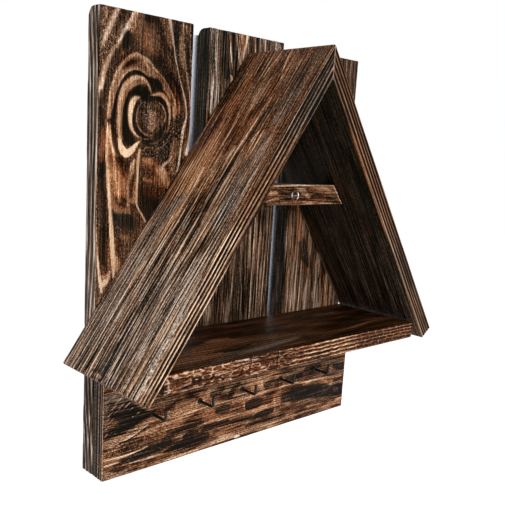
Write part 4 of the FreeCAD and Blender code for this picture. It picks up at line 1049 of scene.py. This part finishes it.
RAIL_GROUND = (
    ((0.13, 0.5, 0.5), 6, 106, 400, 6, 118, 407, 12, 130, 411, 13, 142, 413, 9, 150, 412, 3),
    ((0.08, 0.35), 5, 118, 428, 3, 132, 421, 6, 144, 414, 6),
    ((0.1, 0.4), 4, 107, 436, 4, 116, 433, 6, 126, 428, 4),
    ((0.3, 0.5, 1), 4, 106, 398, 1, 106.5, 412, 2.4, 106.5, 430, 2.4),
    ((0.4, 0.9), 3, 124, 394, 2, 134, 400, 3, 144, 406, 3, 152, 410, 2),
    ((0.42, 1, 1.3), (3, 4), 104, 444, 2.4, 114, 441, 3.2, 124, 437, 3.4, 134, 431, 3.4, 144, 424, 3, 154,
     419, 2.6, 166, 416, 2),
    ((0.36, 1.2, 1.4), 3, 104, 455, 3, 116, 451, 5.6, 130, 446, 6, 144, 438, 6, 156, 431, 6, 168, 425, 5),
    ((0.26, 1), 3, 120, 448, 1.5, 126, 446, 2.6, 133, 442, 1.6),
    ((0.1, 0.35), 3, 114, 466, 1.6, 124, 461, 4, 134, 457, 5.6, 144, 453, 5.6, 156, 448, 4.4, 170, 443, 3),
    ((0.15, 0.8), 3, 112, 472, 2, 118, 471, 3.4, 126, 469, 3),
    ((0.46, 1), 2.5, 105, 474, 3, 110, 475, 2.6, 118, 474, 2, 126, 471, 1.4),
    ((0.3, 1), 5, 152, 404, 4, 162, 403, 7, 172, 400, 5),
    ((0.38, 1.2, 1.3), 5, 166, 416, 4, 178, 412, 8, 190, 408, 8, 200, 402, 5),
    ((0.56, 0.85, 0.7), 3, 176, 406, 1.4, 186, 402, 2.6, 195, 399, 1.8),
    ((0.14, 0.7), 3, 168, 432, 2, 180, 429, 3.6, 192, 425, 4.6, 204, 421, 4.6),
    ((0.44, 1), 3, 176, 437, 1.6, 182, 435, 2.8, 188, 433, 1.6),
    ((0.13, 0.8), 3, 166, 452, 2, 180, 446, 5, 194, 441, 6, 206, 436, 5),
    ((0.3, 0.9), 4, 208, 386, 3, 222, 386, 8, 236, 386, 8, 252, 380, 8, 266, 378, 7),
    ((0.1, 0.5), 3, 212, 394, 3, 219, 391, 4, 224, 388, 2),
    ((0.12, 0.5), 2.5, 230, 395, 2, 234, 389, 3.4, 239, 384, 2.4),
    ((0.38, 1, 1.2), 4, 234, 396, 1.6, 240, 395, 2.6, 247, 393, 2.6, 254, 391, 1.4),
    ((0.42, 1, 1.2), 4, 242, 382, 1.6, 248, 380, 2.4, 255, 379, 1.6),
    ((0.42, 1.1, 1.6), 4, 259, 377, 2, 261, 384, 3, 264, 389, 2),
    ((0.1, 0.5), 1.5, 265, 385, 2.6, 271, 383, 3.2, 278, 381, 2.6),
    ((0.3, 0.9), 4, 282, 374, 4, 300, 369, 6, 320, 364, 6, 340, 360, 5),
    ((0.1, 0.4), 3, 287, 379, 3, 294, 378, 3, 301, 375, 2),
    ((0.12, 0.5), 3, 306, 369, 2, 313, 367, 3.4, 320, 365, 2.4),
    ((0.11, 0.5), 3, 334, 366, 2.6, 339, 366, 3.6, 343, 366, 3.6),
    ((0.09, 0.4), 4, 284, 398, 5, 300, 394, 8, 318, 391, 9, 338, 390, 9),
    ((0.36, 1), 2.5, 296, 404, 1, 304, 402, 1.8, 313, 399, 1.2),
    ((0.24, 0.9), 3, 300, 414, 2.4, 308, 411, 2.6, 316, 408, 1.6),
    ((0.34, 0.8), 1.4, 318, 398, 0.6, 330, 396.5, 1, 341, 396, 0.9),
    ((0.3, 0.7), 2, 328, 384, 1, 335, 382, 1.6, 341, 381, 1.4),
)

RAIL_BLOCKS = (
    # rows of charred blocks on redder wood
    ((0.3, 1.5, 0.9), 3, 206, 418, 5, 226, 413, 9, 248, 408, 10, 276, 400, 8),
    ((0.1, 0.7, 0.7), 3, 218, 411, 3.6, 223, 409.5, 6, 229, 408, 4),
    ((0.19, 1.2, 0.9), 3, 232, 408, 3, 237, 407, 4.4, 241, 406, 3),
    ((0.07, 0.6, 0.6), 2.5, 247.5, 405.5, 4.4, 253, 404, 6, 259, 402.5, 5.6, 262, 401.5, 3.6),
    ((0.15, 1.3, 0.9), 2.5, 265, 401.5, 4, 268, 400.5, 4.4, 271.5, 399.5, 3.6),
    ((0.09, 0.6, 0.7), 2.5, 203, 430.5, 2.6, 208, 428, 4, 213, 426.5, 2.6),
    ((0.08, 0.6, 0.6), 2.5, 217.5, 425.5, 2.4, 222, 424, 3.8, 227.5, 422, 3),
    ((0.13, 1.2, 0.8), 2.5, 230.5, 423, 2.4, 234, 422, 3.6, 238.5, 421, 2.6),
    ((0.1, 0.8, 0.7), 2, 242.5, 420, 2.2, 246, 419, 3.2, 251, 417.5, 2.8),
    ((0.06, 0.5, 0.6), 2, 255, 416.5, 2.6, 261, 414.5, 4, 268, 412, 3.6, 273, 410, 2),
    ((0.26, 1.7), 2.5, 218, 433.5, 2, 226, 431, 3, 236, 428, 2.4, 242, 426, 1.4),
    ((0.12, 0.9), 2, 246, 426, 1, 256, 422.5, 1.8, 270, 418.5, 1.6),
    ((0.5, 1.4, 0.6), 1.6, 244, 400, 0.3, 244.6, 407, 0.7, 245, 413, 0.3),
    ((0.42, 1.7), 2, 274, 398, 0.8, 275, 405, 1.2, 274.6, 411, 0.8),
    ((0.1, 0.5), 2, 184, 437, 2, 190, 434.5, 3, 197, 432, 2.4),
    ((0.48, 1.2, 1.3), (1.4, 1.2), 198, 426, 0.7, 208, 422.5, 1, 220, 419, 1.1, 233, 415.8, 1, 246, 412.8,
     1.1, 258, 409.6, 1.1, 270, 406.4, 1, 280, 404, 0.8),
    ((0.4, 1.3, 1.3), (1.4, 1.2), 206, 432, 0.8, 216, 429, 1.2, 226, 426, 1.2, 237, 423.6, 0.9, 248, 420.8,
     0.8, 260, 418, 0.7),
    ((0.46, 1.1, 1.2), (2, 1.4), 104, 480, 1, 126, 474, 1.4, 150, 466, 1.8, 178, 456.5, 2, 206, 445.5, 2.4,
     226, 438.5, 3, 246, 431.5, 2.6, 268, 424, 2.4, 290, 416.6, 1.4, 316, 408.6, 0.8, 340, 402, 0.8),
    # the long salmon line along the upper rows, with the brighter spot on it, is a light ridge whose
    # brightness is partly a painted highlight
    ((0.52, 1, 1.3), (1.2, 1.6), 188, 412, 0.5, 200, 408.6, 0.9, 214, 404.6, 1.2, 228, 401.4, 1.2, 242,
     398.4, 1.3, 254, 395.4, 1.5, 266, 391.6, 1.6, 278, 388.2, 1.5, 290, 385, 1.5, 302, 382.2, 1.4, 314,
     380, 1.4, 326, 377.8, 1.2, 341, 375.4, 0.9),
    ((0.62, 1), 1.4, 306, 382, 0.8, 309, 381.5, 1.6, 312, 380.5, 0.8),
    ((0.64, 0.95, 0.4), 1.2, 104, 461, 0.9, 114, 458.4, 1.2, 125, 456, 1.2, 136, 451.5, 1, 147, 446.5, 0.9),
    ((0.6, 0.9), (1.4, 1), 104, 449, 0.6, 114, 445.5, 0.9, 124, 441, 1, 134, 435, 1, 143, 428.6, 1, 148,
     424.6, 0.7),
    ((0.05, 0.3), 0.5, 113, 447, 0.3, 122, 443, 0.6, 131, 438.6, 0.8, 139, 433, 0.8, 146, 427, 0.5),
    ((0.56, 1), 1, 104, 467, 1, 112, 464.4, 1.2, 120, 462, 0.7),
    ((0.58, 0.9), 1, 130, 463.4, 0.6, 140, 460.6, 0.9, 150, 457.6, 0.9, 162, 453.6, 0.7),
    ((0.1, 0.4), 0.6, 171, 405, 0.4, 176, 401.8, 0.7, 182, 399, 0.5),
    ((0.92, 0.1, 0.6), 0.8, 234, 437.6, 0.8, 236.6, 436.6, 1.4, 239.4, 435.8, 0.8),
)

# Scratches across the grain, by the pixels of their two ends
SCRATCHES = (
    (105, 424, 111, 417), (107, 418, 114, 411), (110, 412, 118, 404), (113, 407, 121, 399),
    (116, 403, 125, 395), (118, 409, 127, 401), (122, 411, 130, 403), (104, 431, 109, 427),
    (126, 406, 133, 400), (112, 399, 118, 393), (105, 411, 110, 405), (108, 424, 114, 419),
    (130, 410, 137, 405), (106, 404, 111, 399), (114, 414, 120, 409), (133, 417, 141, 411),
    (104, 438, 108, 434), (120, 399, 126, 393),
)

RAIL_TOUCHES = (
    ((-0.1,), 5, 266, 392, 4, 284, 387, 7, 302, 390, 7, 318, 388, 5),
    ((-0.06,), 5, 158, 412, 4, 176, 408, 7, 196, 402, 5),
    ((0.1, 0.2), 4, 198, 384, 3, 206, 382, 5, 216, 384, 3),
    ((0.12, 0.3), 4, 322, 380, 2, 332, 384, 4, 338, 392, 3),
    ((-0.16,), 4, 168, 408, 3, 180, 404, 6, 194, 398, 5),
    ((-0.14,), 4, 268, 394, 3, 276, 388, 5, 282, 380, 3),
    ((-0.12,), 4, 294, 378, 3, 304, 374, 4, 314, 371, 2),
    ((0.12,), 5, 98, 400, 3, 108, 402, 6, 120, 402, 5),
    ((0.1,), 3, 98, 414, 3, 98, 440, 3, 97, 468, 3),
    ((-0.08,), 5, 124, 452, 3, 142, 442, 5, 160, 432, 4),
    ((-0.08,), 4, 104, 474, 2, 114, 470, 4, 122, 466, 3),
    ((0.06, 0.3), 10, 150, 425, 14, 200, 410, 16, 250, 396, 16, 300, 385, 14),
    ((0.14,), 4, 106, 396, 2, 116, 398, 4, 126, 400, 3),
    ((0.14,), 5, 202, 394, 3, 210, 392, 4, 218, 390, 3),
    ((0.1, 0.3), 5, 236, 394, 3, 248, 388, 5, 260, 382, 5, 270, 376, 3),
    ((0.1, 0.3), 4, 246, 416, 3, 256, 411, 4, 266, 407, 3),
    ((0.1,), 4, 212, 442, 2, 222, 438, 3, 232, 434, 2),
    ((0.1, 0.3), 4, 108, 470, 2, 116, 468, 3, 126, 465, 2),
    ((0.12,), 4, 322, 392, 2, 330, 386, 3, 332, 378, 2),
    ((0.1,), 4, 324, 406, 2, 332, 402, 3, 340, 400, 2),
)


def key_rail():
    plank = boxed("key_rail", (X, Z, Y), (0.9, 0.85, 1.1), high=4, back=10)
    s, t = plank.s, plank.t
    plank.ring = (t + 10 * noise(61, s / 80, t / 50) + 2 * noise(62, s / 20, t / 12)) / 7
    plank.fill(tone=0.28, warm=1.3, line=0.06, fibre=0.8, speck=1.0)
    plank.tone += 0.3 * (noise(64, s / 9, t / 6) - 0.5)
    lay(plank, RAIL_GROUND)
    lay(plank, RAIL_BLOCKS)
    lay(plank, RAIL_TOUCHES, TOUCH)
    lay(plank, [((0.6, 0.5, 0.3), 0.5, x0, y0, 0.3, (x0 + x1) / 2, (y0 + y1) / 2, 0.55, x1, y1, 0.3)
                for x0, y0, x1, y1 in SCRATCHES])
    edge_rings(plank, "start", (0.6, 4.2, 7.6, 13.4, 16.2), 63, 0.6)
    front = plank.facing("front")
    plank.tone += front * 0.6 * (plank.tone - 0.3)
    end = plank.facing("start")
    plank.mix(end, tone=0.16, warm=0.35, line=0.8, fibre=0.5, speck=0.3)
    plank.mix(end * ramp(plank.d, 7, 11), tone=0.14, warm=0.2, line=0.4, speck=0.8)
    plank.mix(end * (1 - ramp(plank.d, 0.8, 2.2)), tone=0.66, warm=0.6, line=0.1)
    plank.mix(plank.facing("end"), tone=0.12, warm=0.3, line=0.3)
    plank.mix(plank.facing("high"), tone=0.1, warm=0.6, line=0.1)
    plank.finish(brushed(plank), VARNISHED)


# The shelf

SHELF_TOP = (
    ((0.38, 1.3, 0.8), 8, 168, 366, 3, 184, 362, 6, 206, 357, 7, 232, 352, 5),
    ((0.3, 1.3, 0.8), 9, 176, 360, 6, 196, 352, 10, 218, 345, 10, 240, 340, 6),
    ((0.36, 1.5), 4, 180, 356, 2, 192, 353, 4, 206, 350, 3),
    ((0.36, 1.6), 4, 206, 342, 2, 216, 340, 4, 228, 338, 2),
    # the two greyer bands here are a painted sheen on the top
    ((0.3, 0.5, 0.8), 7, 214, 362, 3, 232, 355, 6, 250, 350, 6, 266, 345, 4),
    ((0.42, 0.1), 5, 240, 354, 1.4, 258, 349, 4, 278, 343, 4, 298, 337, 2),
    ((0.06, 0.4), 3, 224, 352, 1, 238, 348, 3, 250, 344, 2),
    ((0.26, 0.9), 3, 300, 335, 1, 322, 333, 2.4, 345, 328, 1.6),
    ((0.42, 0.9), 3, 344, 328, 0.8, 354, 326, 2.2, 366, 322.6, 2, 376, 320, 0.8),
    ((0.04, 0.2), 3, 348, 316, 2, 364, 315, 4, 384, 316, 3),
    ((0.34, 0.4), 1, 300, 318, 0.5, 316, 314.5, 0.8, 334, 312, 0.6),
    ((0.3, 0.4), 1, 372, 313, 0.5, 386, 315.6, 0.8, 398, 318, 0.6),
)


def key_shelf():
    plank = boxed("shelf", (X, -Y, -Z), (0.8, 1.6, 0.65), low=4, back=3)
    s, t = plank.s, plank.t
    plank.ring = (t + 8 * noise(71, s / 90, t / 40) + 1.5 * noise(72, s / 20, t / 10)) / 5
    plank.fill(tone=0.14, warm=0.9, line=0.15, fibre=0.3, speck=0.5)
    plank.tone += 0.3 * (noise(76, s / 40, t / 8) - 0.5)
    lay(plank, SHELF_TOP)
    edge = plank.facing("high")
    rough = 1 - ramp(s, 120, 175)
    edge_rings(plank, "high", (1.6, 5.2, 9, 12.8, 16.6), 73, 0.8, 0.8 + 2.2 * rough)
    broken = noise(74, s / 5, plank.d / 2.2)
    level = 2.7 * noise(78, s / 11, plank.d / 3)
    squiggle = 1 - ramp(np.abs(level - np.round(level)), 0.05, 0.21)
    row = np.floor(plank.d / 3.7)
    joint = 1 - ramp(np.abs(((s + 23 * cell_values(79, (row, row))) / 12.5) % 1 - 0.5), 0.02, 0.09)
    plank.mix(edge, tone=0.17 + 0.22 * broken, warm=1.4, line=0.5 + 0.4 * broken, fibre=0.4, speck=0.8)
    plank.mix(edge * ramp(s, 195, 205) * (1 - ramp(s, 222, 234)), tone=0.26 + 0.22 * broken)
    plank.mix(edge * ramp(s, 236, 250), tone=0.12, line=0.45)
    plank.mix(edge * (1 - rough) * joint * 0.8, tone=0.5, warm=1.0, line=0.2)
    plank.mix(edge * rough, tone=0.11 + 0.22 * broken, warm=1.6, speck=0.8)
    plank.mix(edge * rough, line=0.1 + 0.35 * ramp(broken, 0.5, 0.8))
    plank.mix(edge * rough * squiggle, tone=0.74, warm=0.45, line=0.0)
    for place in (93, 127):
        crack = 1 - ramp(np.abs(s - place - 3 * (noise(75, plank.d / 3) - 0.5)), 0.3, 1.2)
        plank.mix(edge * crack, tone=0.1, line=0.1)
        lip = 1 - ramp(np.abs(s - place - 1.8), 0.3, 1.4)
        plank.mix(edge * lip * (1 - crack) * broken, tone=0.55)
    plank.mix(plank.facing("back"), tone=0.1, warm=0.6)
    plank.finish(brushed(plank, 0.7), VARNISHED)


# The boards behind the roof

CENTRE_STROKES = (
    ((0.36, 0.15, 1, 0.1), 4, 214, 24, 4, 214, 45, 5, 214, 65, 6, 214, 85, 8, 212, 105, 8),
    ((0.07, 0, 0.4), 2, 224.5, 28, 4, 224.5, 44, 4, 225, 60, 4, 227, 74, 5),
    ((0.24, 0), 1, 222, 30, 0.6, 222, 45, 0.8, 222, 58, 0.6),
    ((0.66, 0.2, 1.2), 0.8, 213, 24, 0.7, 212.6, 45, 0.7, 213, 60, 0.8, 214, 76, 0.9, 212, 95, 1, 210.5,
     112, 1),
    ((0.6, 0.2, 1.2), 0.8, 215.6, 25, 0.7, 215.6, 50, 0.7, 216.2, 66, 0.8, 217, 81, 0.8, 216.6, 95, 0.8,
     214, 109, 0.9),
    ((0.56, 0.2, 1), 0.8, 218, 26, 0.6, 218, 46, 0.6, 218.6, 62, 0.7, 218, 76, 0.6),
    ((0.1, 0.1), 0.6, 214.4, 26, 0.4, 214.2, 50, 0.5, 214.6, 70, 0.5, 214.8, 90, 0.5),
    ((0.4, 0.8), 1, 221, 68, 0.5, 221.4, 76, 0.9, 221, 84, 0.5),
    ((0.8, 0.45), 0.8, 230, 31, 0.8, 230.5, 42, 0.9, 231.3, 53, 1.1, 232.1, 61, 0.9, 232.6, 68, 0.5),
    ((0.78, 0.3), 0.8, 230.8, 75, 0.5, 232, 79, 1.2, 231, 83, 0.6),
    ((0.08, 0.1), 1.2, 234.2, 33, 1, 235, 48, 1.2, 236, 62, 1.4, 236, 74, 2),
    ((0.5, 1), 1.4, 241.5, 35, 4, 241.8, 42, 3.6, 242, 49, 2.4),
    ((0.24, 1), 1.4, 240.5, 38, 0.8, 241.5, 45, 1.4, 242, 51, 0.8),
    ((0.56, 0.4), 1.2, 242, 52, 1.4, 242, 58, 1.6, 241, 64, 1),
    ((0.7, 0.7), 0.8, 236.8, 34, 0.9, 238, 44, 1, 239.2, 54, 1.2, 240.2, 64, 1),
    ((0.74, 0.8), 0.8, 248.2, 35, 1.5, 246.6, 43, 1.3, 244.8, 51, 1.3, 243.2, 59, 1),
    ((0.05, 0), 1, 251.3, 36, 1.4, 251, 46, 1.8, 250, 56, 1.8),
    ((0.74, 0.8), 0.8, 255.2, 36, 1.2, 255.4, 45, 1.2, 255.6, 54, 1),
    ((0.07, 0.2), 0.8, 258, 37, 0.8, 258, 46, 0.9, 258, 56, 0.9),
    ((0.6, 0.35), 0.8, 260.6, 37, 0.9, 260.7, 45, 1, 260.5, 54, 1),
    ((0.64, 0.25), 1, 265, 38, 2, 265.3, 46, 2.2, 265.4, 54, 2.2),
    ((0.1, 0.3), 1, 269.2, 40, 1, 269.4, 47, 1.2, 269.5, 54, 1.2),
    ((0.5, 0.1, 1.3), 1, 277, 41, 6, 277.5, 47, 6, 278, 54, 6),
    ((0.1, 0.1), 0.5, 274.3, 41, 0.4, 274.6, 48, 0.5, 274.6, 54, 0.5),
    ((0.1, 0.1), 0.5, 278, 42, 0.4, 278, 48, 0.5, 278, 54, 0.5),
    ((0.1, 0.1), 0.5, 281.2, 43, 0.4, 281.2, 48, 0.5, 281.2, 54, 0.5),
)

# Streaks down the bay, by the pixel where each begins and its tone
BAY_STREAKS = ((251, 0.56), (255, 0.72), (258, 0.5), (261, 0.64), (264.2, 0.6), (266.6, 0.6), (269.5, 0.42))


def centre_board():
    plank = boxed("back_board_centre", (Z, X, Y), (1.1, 0.85, 1.2), 0.7, worn=BOARD_WORN, back=4)
    grow(plank, (30, 70), 3.2, 21, drift=4)
    plank.fill(tone=0.2, warm=0.5, line=0.3, fibre=0.9, speck=0.6)
    plank.mix(plank.facing("low"), tone=0.13, warm=0.0, line=0.1, fibre=0.5)
    plank.mix(plank.facing("end"), tone=0.12, warm=0.1, line=0.2)
    plank.mix(plank.facing("front") * ramp(plank.s, 300, 330), line=0.05)
    lay(plank, CENTRE_STROKES)
    lay(plank, [((tone, 0.6, None, 0.0), 0.8, x + 1.2, 208, 0.5, x + 0.4, 222, 0.8, x - 0.6, 238, 0.8,
                 x - 3, 270, 0.8, x - 5.5, 310, 0.7, x - 7, 335, 0.6) for x, tone in BAY_STREAKS])
    plank.finish(brushed(plank) * (1 - 0.8 * plank.facing("high")), coarse=0.8)


RIGHT_STROKES = (
    # the first stroke is the painted shadow of the cross bar on the board
    ((0.12, 0.6, None, 0.15), 6, 284, 203, 4, 292, 206, 5, 302, 208, 4),
    ((0.12, 0.3, None, 0.1), 4, 300, 232, 3, 303, 250, 6, 306, 264, 6),
    ((0.42, 1.5, None, 0.3), 4, 300, 206, 5, 300, 222, 6, 300, 238, 4),
    ((0.36, 1.6, None, 0.2), 3, 302, 262, 1.6, 306, 270, 2.4, 309, 278, 2),
    ((0.46, 1.4, None, 0.3), 4, 321, 270, 3, 323, 286, 6, 325, 302, 7),
    ((0.1, 0.3, None, 0.1), 2, 310, 256, 1, 311.5, 270, 1.8, 312, 290, 1.6),
    ((0.66, 1, None, 0), 0.8, 291.6, 212, 0.5, 291.4, 226, 0.8, 290.6, 240, 0.6, 288, 280, 0.6, 285,
     320, 0.6),
    ((0.6, 1, None, 0), 0.8, 294.6, 218, 0.4, 294, 228, 0.6, 293, 240, 0.5, 291, 280, 0.6, 288, 320,
     0.6),
    ((0.7, 1.2, None, 0), 0.8, 298.6, 208, 0.5, 297.4, 222, 1, 296.4, 238, 0.8, 294, 280, 0.6, 292, 320,
     0.6),
    ((0.66, 1.3, None, 0), 0.8, 300.6, 214, 0.5, 301.6, 222, 0.8, 303, 230, 0.6),
    ((0.08, 0.3, None, 0), 0.7, 296, 210, 0.4, 295.6, 226, 0.6, 294.8, 240, 0.4),
    ((0.62, 0.9, None, 0), 0.8, 314.6, 256, 0.5, 315.6, 272, 0.8, 315.4, 290, 0.8, 315, 304, 0.6),
    ((0.68, 1, None, 0), 0.8, 319.6, 264, 0.5, 320, 280, 0.8, 321, 294, 0.9, 321.4, 304, 0.6),
    ((0.6, 1.3, None, 0), 0.8, 323.6, 272, 0.5, 324.6, 284, 0.8, 327, 298, 0.8),
    ((0.12, 0.6, None, 0), 0.8, 317.6, 264, 0.5, 318, 282, 0.8, 318.4, 302, 0.6),
    ((0.56, 0.4, None, 0), 0.8, 330, 288, 0.5, 331, 294, 0.8, 333, 302, 0.6),
)


def right_board():
    plank = boxed("back_board_right", (Z, X, Y), (1.2, 0.95, 1.5), 0.7, worn=BOARD_WORN, back=4)
    grow(plank, (60, 60), 3.4, 31, drift=4)
    plank.fill(tone=0.28, warm=0.7, line=0.35, fibre=0.8, speck=0.5)
    plank.mix(plank.facing("low"), tone=0.08, warm=0.1, line=0.05)
    front = plank.facing("front")
    plank.mix(front * ramp(plank.s, 300, 340), tone=0.2, warm=0.6, line=0.2)
    plank.mix(front * (1 - ramp(plank.s, 150, 200)) * ramp(plank.t, 4, 9), tone=0.42, warm=0.6)
    lay(plank, RIGHT_STROKES)
    plank.finish(brushed(plank) * (1 - 0.8 * plank.facing("low")), coarse=0.8)


BAR_TOUCHES = (((0.12,), 3, 310, 192, 2, 316, 189, 4, 322, 188, 3),)
BAR_STROKES = (
    ((0.5, 1), 2, 264, 195, 1.4, 270, 194, 2.8, 277, 193, 1.6),
    ((0.62, 0.6), 1.4, 266, 202, 0.6, 272, 200, 1.2, 279, 199, 0.8),
    ((0.12, 0.5), 2, 280, 191, 2, 285, 196, 3, 289, 200, 2),
    ((0.56, 0.8, 1), 2, 298, 190, 1.6, 304, 192, 3, 309, 197, 2.2),
    ((0.66, 0.6), 1.2, 295, 187, 0.6, 301, 188.5, 1, 307, 188, 0.6),
    ((0.14, 0.6), 1.6, 311, 200, 1, 316, 194, 1.6, 322, 196, 1.4),
    ((0.55, 0.9), 1.4, 318, 190, 0.8, 325, 189, 1.6, 331, 190, 0.8),
    ((0.5, 0.9), 1.6, 303, 202, 0.8, 310, 203, 1.4, 317, 201.5, 0.8),
    ((0.1, 0.4), 1.4, 327, 197, 1.4, 331, 199, 1.8, 336, 200, 1.2),
    ((0.58, 0.6), 1, 318, 203, 0.6, 325, 203, 1, 333, 203.4, 0.6),
    ((0.7, 0.4), (0.8, 0.6), 272, 186, 0.6, 285, 185.6, 0.9, 300, 185.4, 0.9, 318, 185.4, 0.9, 334, 185.8,
     0.8),
    ((0.85, 0.1), 0.6, 334, 187, 0.6, 336.4, 192, 0.6, 339, 198, 0.6, 341.4, 203, 0.9),
    ((0.62, 0.3), 0.6, 268, 205, 0.5, 285, 204.8, 0.6, 305, 204.8, 0.6, 325, 205, 0.6, 338, 205.4, 0.8),
)


def cross_bar():
    left, right = (math.tan(roof_slope(side)[0]) for side in ("left", "right"))

    def slant(t, d):
        return t / left, -t / right

    plank = boxed("cross_bar", (X, Z, Y), (0.8, 0.8, 0.9), 1.2, ends=slant, back=2)
    s, t = plank.s, plank.t
    plank.ring = (t + 6 * noise(81, s / 30, t / 12)) / 4.5
    plank.fill(tone=0.26, warm=1.1, line=0.15, fibre=0.6, speck=0.9)
    lay(plank, BAR_TOUCHES, TOUCH)
    lay(plank, BAR_STROKES)
    plank.warm += 0.1 * plank.facing("front")
    plank.finish(brushed(plank, 0.9))


def right_roof():
    plank = roof("right", (1.1, 1.2, 0.7), low=3, start=2)
    s, t = plank.s, plank.t
    plank.ring = (t + 6 * noise(51, s / 90, t / 60) + 1.2 * noise(52, s / 25, t / 12)) / 4.2
    plank.fill(tone=0.28, warm=0.6, line=0.25, fibre=0.8, speck=0.7)
    edge_rings(plank, "high", (1.4, 5, 8.6, 12.2, 16), 53)
    edge = plank.facing("high")
    plank.mix(edge, tone=0.13, warm=0.85, line=0.5, fibre=0.3, speck=0.2)
    bright = ramp(s, 60, 90) * (1 - ramp(s, 180, 230))
    plank.mix(edge * bright, tone=0.04 + 0.16 * ramp(plank.d, 4, 14), line=0.55, warm=1.0)
    uneven = noise(56, s / 16, plank.d / 4)
    plank.mix(edge * ramp(s, 170, 220), tone=0.04 + 0.12 * uneven, line=0.3 + 0.3 * uneven, warm=0.5)
    plank.mix(edge * ramp(s, 270, 310), tone=0.2, line=0.45)
    plank.mix(edge * ramp(plank.d, 15, 16.6) * ramp(s, 150, 200), tone=0.6, line=0.1, warm=0.7)
    inside = plank.facing("back")
    plank.mix(inside, tone=0.12, warm=0.0, line=0.05, fibre=0.3, speck=0.4)
    plank.mix(inside * ramp(noise(54, s / 120, t / 9), 0.6, 0.75), tone=0.19, warm=0.3)
    plank.mix(inside * ramp(s, 150, 300), tone=0.22, warm=0.2, fibre=0.6)
    plank.mix(inside * bright * ramp(t, 108.5, 110.5), tone=0.42, warm=1.2, line=0.2)
    glint = ramp(noise(55, s / 18, 0 * s), 0.25, 0.5) * (1 - ramp(t, 1.8, 3)) * ramp(s, 150, 200)
    plank.mix(ramp(plank.d, 15.5, 17.5) * glint, tone=0.66, warm=0.4, line=0.0)
    plank.mix(edge * plank.mitre, tone=0.7, line=0.0, warm=0.1)
    plank.finish(brushed(plank))


# Light and floor

FLOOR_LEVEL = -0.72
FLOOR_HALF = 6.0
WALL_MM = {"left": -166, "right": 166, "foot": -374, "top": 30, "behind": 0.3}


def make_world():
    world = bpy.data.worlds.new("studio")
    bpy.context.scene.world = world
    nodes = Nodes(world)
    light, output = nodes.tree.nodes["Background"], nodes.tree.nodes["World Output"]
    light.inputs["Color"].default_value = (1, 1, 1, 1)
    light.inputs["Strength"].default_value = 0.5
    white = nodes.add("Background", (1, 1, 1, 1), 1.0)
    nodes.join(nodes.add("MixShader", nodes.seen(), light, white), output.inputs["Surface"])


def make_lamp(name, place, aim, size, power):
    data = bpy.data.lights.new(name, "AREA")
    data.shape = "RECTANGLE"
    data.size, data.size_y = size
    data.energy = power
    lamp = bpy.data.objects.new(name, data)
    bpy.context.scene.collection.objects.link(lamp)
    direction = Vector(aim) - Vector(place)
    lamp.matrix_world = Matrix.Translation(place) @ direction.to_track_quat("-Z", "Y").to_matrix().to_4x4()


def stage_sheet(name, corners, material):
    """One square of the stage."""
    mesh = bpy.data.meshes.new(name)
    mesh.from_pydata(corners, [], [(0, 1, 2, 3)])
    mesh.materials.append(material)
    sheet = bpy.data.objects.new(name, mesh)
    bpy.context.scene.collection.objects.link(sheet)
    return sheet


def make_floor():
    """A pale floor below the object, white to the camera but for the object's faint shadow."""
    nodes = material_nodes("floor")
    glow = nodes.math("MULTIPLY_ADD", nodes.seen(), 0.27, 0.3)
    pale = nodes.set(Base_Color=(0.9, 0.9, 0.9, 1), Roughness=0.9, Specular_IOR_Level=0.0,
                     Emission_Color=(1, 1, 1, 1), Emission_Strength=glow)
    corners = [(x * FLOOR_HALF, y * FLOOR_HALF, FLOOR_LEVEL) for x, y in ((-1, -1), (1, -1), (1, 1), (-1, 1))]
    floor = stage_sheet("floor", corners, pale)


def make_wall():
    """The pale wall in the gaps between the boards; it glows with a painted shade from ambient occlusion,
    darker deep in the gaps and dark grey close to the boards, and it lights and shades nothing.
    """
    nodes = material_nodes("wall")
    far, near = (nodes.add("AmbientOcclusion", samples=12) for _ in range(2))
    far.inputs["Distance"].default_value = 0.2
    near.inputs["Distance"].default_value = 0.012
    colour = nodes.ramp(far.outputs["AO"], (
        (0.04, shade(26, 24, 22)), (0.2, shade(90, 98, 108)), (0.32, shade(196, 206, 224)),
        (0.42, shade(236, 240, 252)), (0.55, shade(255, 255, 255))))
    clear_of = nodes.ramp(near.outputs["AO"], ((0.58, 0.0), (0.76, 1.0)))
    glow = nodes.add("Emission", nodes.blend(clear_of, shade(44, 46, 48), colour))
    back = nodes.add("NewGeometry").outputs["Backfacing"]
    shown = nodes.add("MixShader", back, glow, nodes.add("BsdfTransparent"))
    nodes.join(shown, nodes.tree.nodes["Material Output"].inputs["Surface"])
    left, right, foot, top, behind = (value * MM for value in WALL_MM.values())
    corners = [(left, behind, foot), (right, behind, foot), (right, behind, top), (left, behind, top)]
    wall = stage_sheet("wall", corners, nodes.owner)
    for kind in ("diffuse", "glossy", "transmission", "volume_scatter", "shadow"):
        setattr(wall, "visible_" + kind, False)


make_camera()
make_world()
make_lamp("key", place=(-0.75, -2.2, 0.9), aim=(0, -0.05, -0.15), size=(1.3, 1.0), power=38)
make_floor()
make_wall()
dress_hardware()
for build in (left_board, centre_board, right_board, left_roof, right_roof, key_rail, key_shelf, cross_bar):
    build()

bpy.context.scene.view_settings.view_transform = "Standard"
bpy.context.view_layer.update()
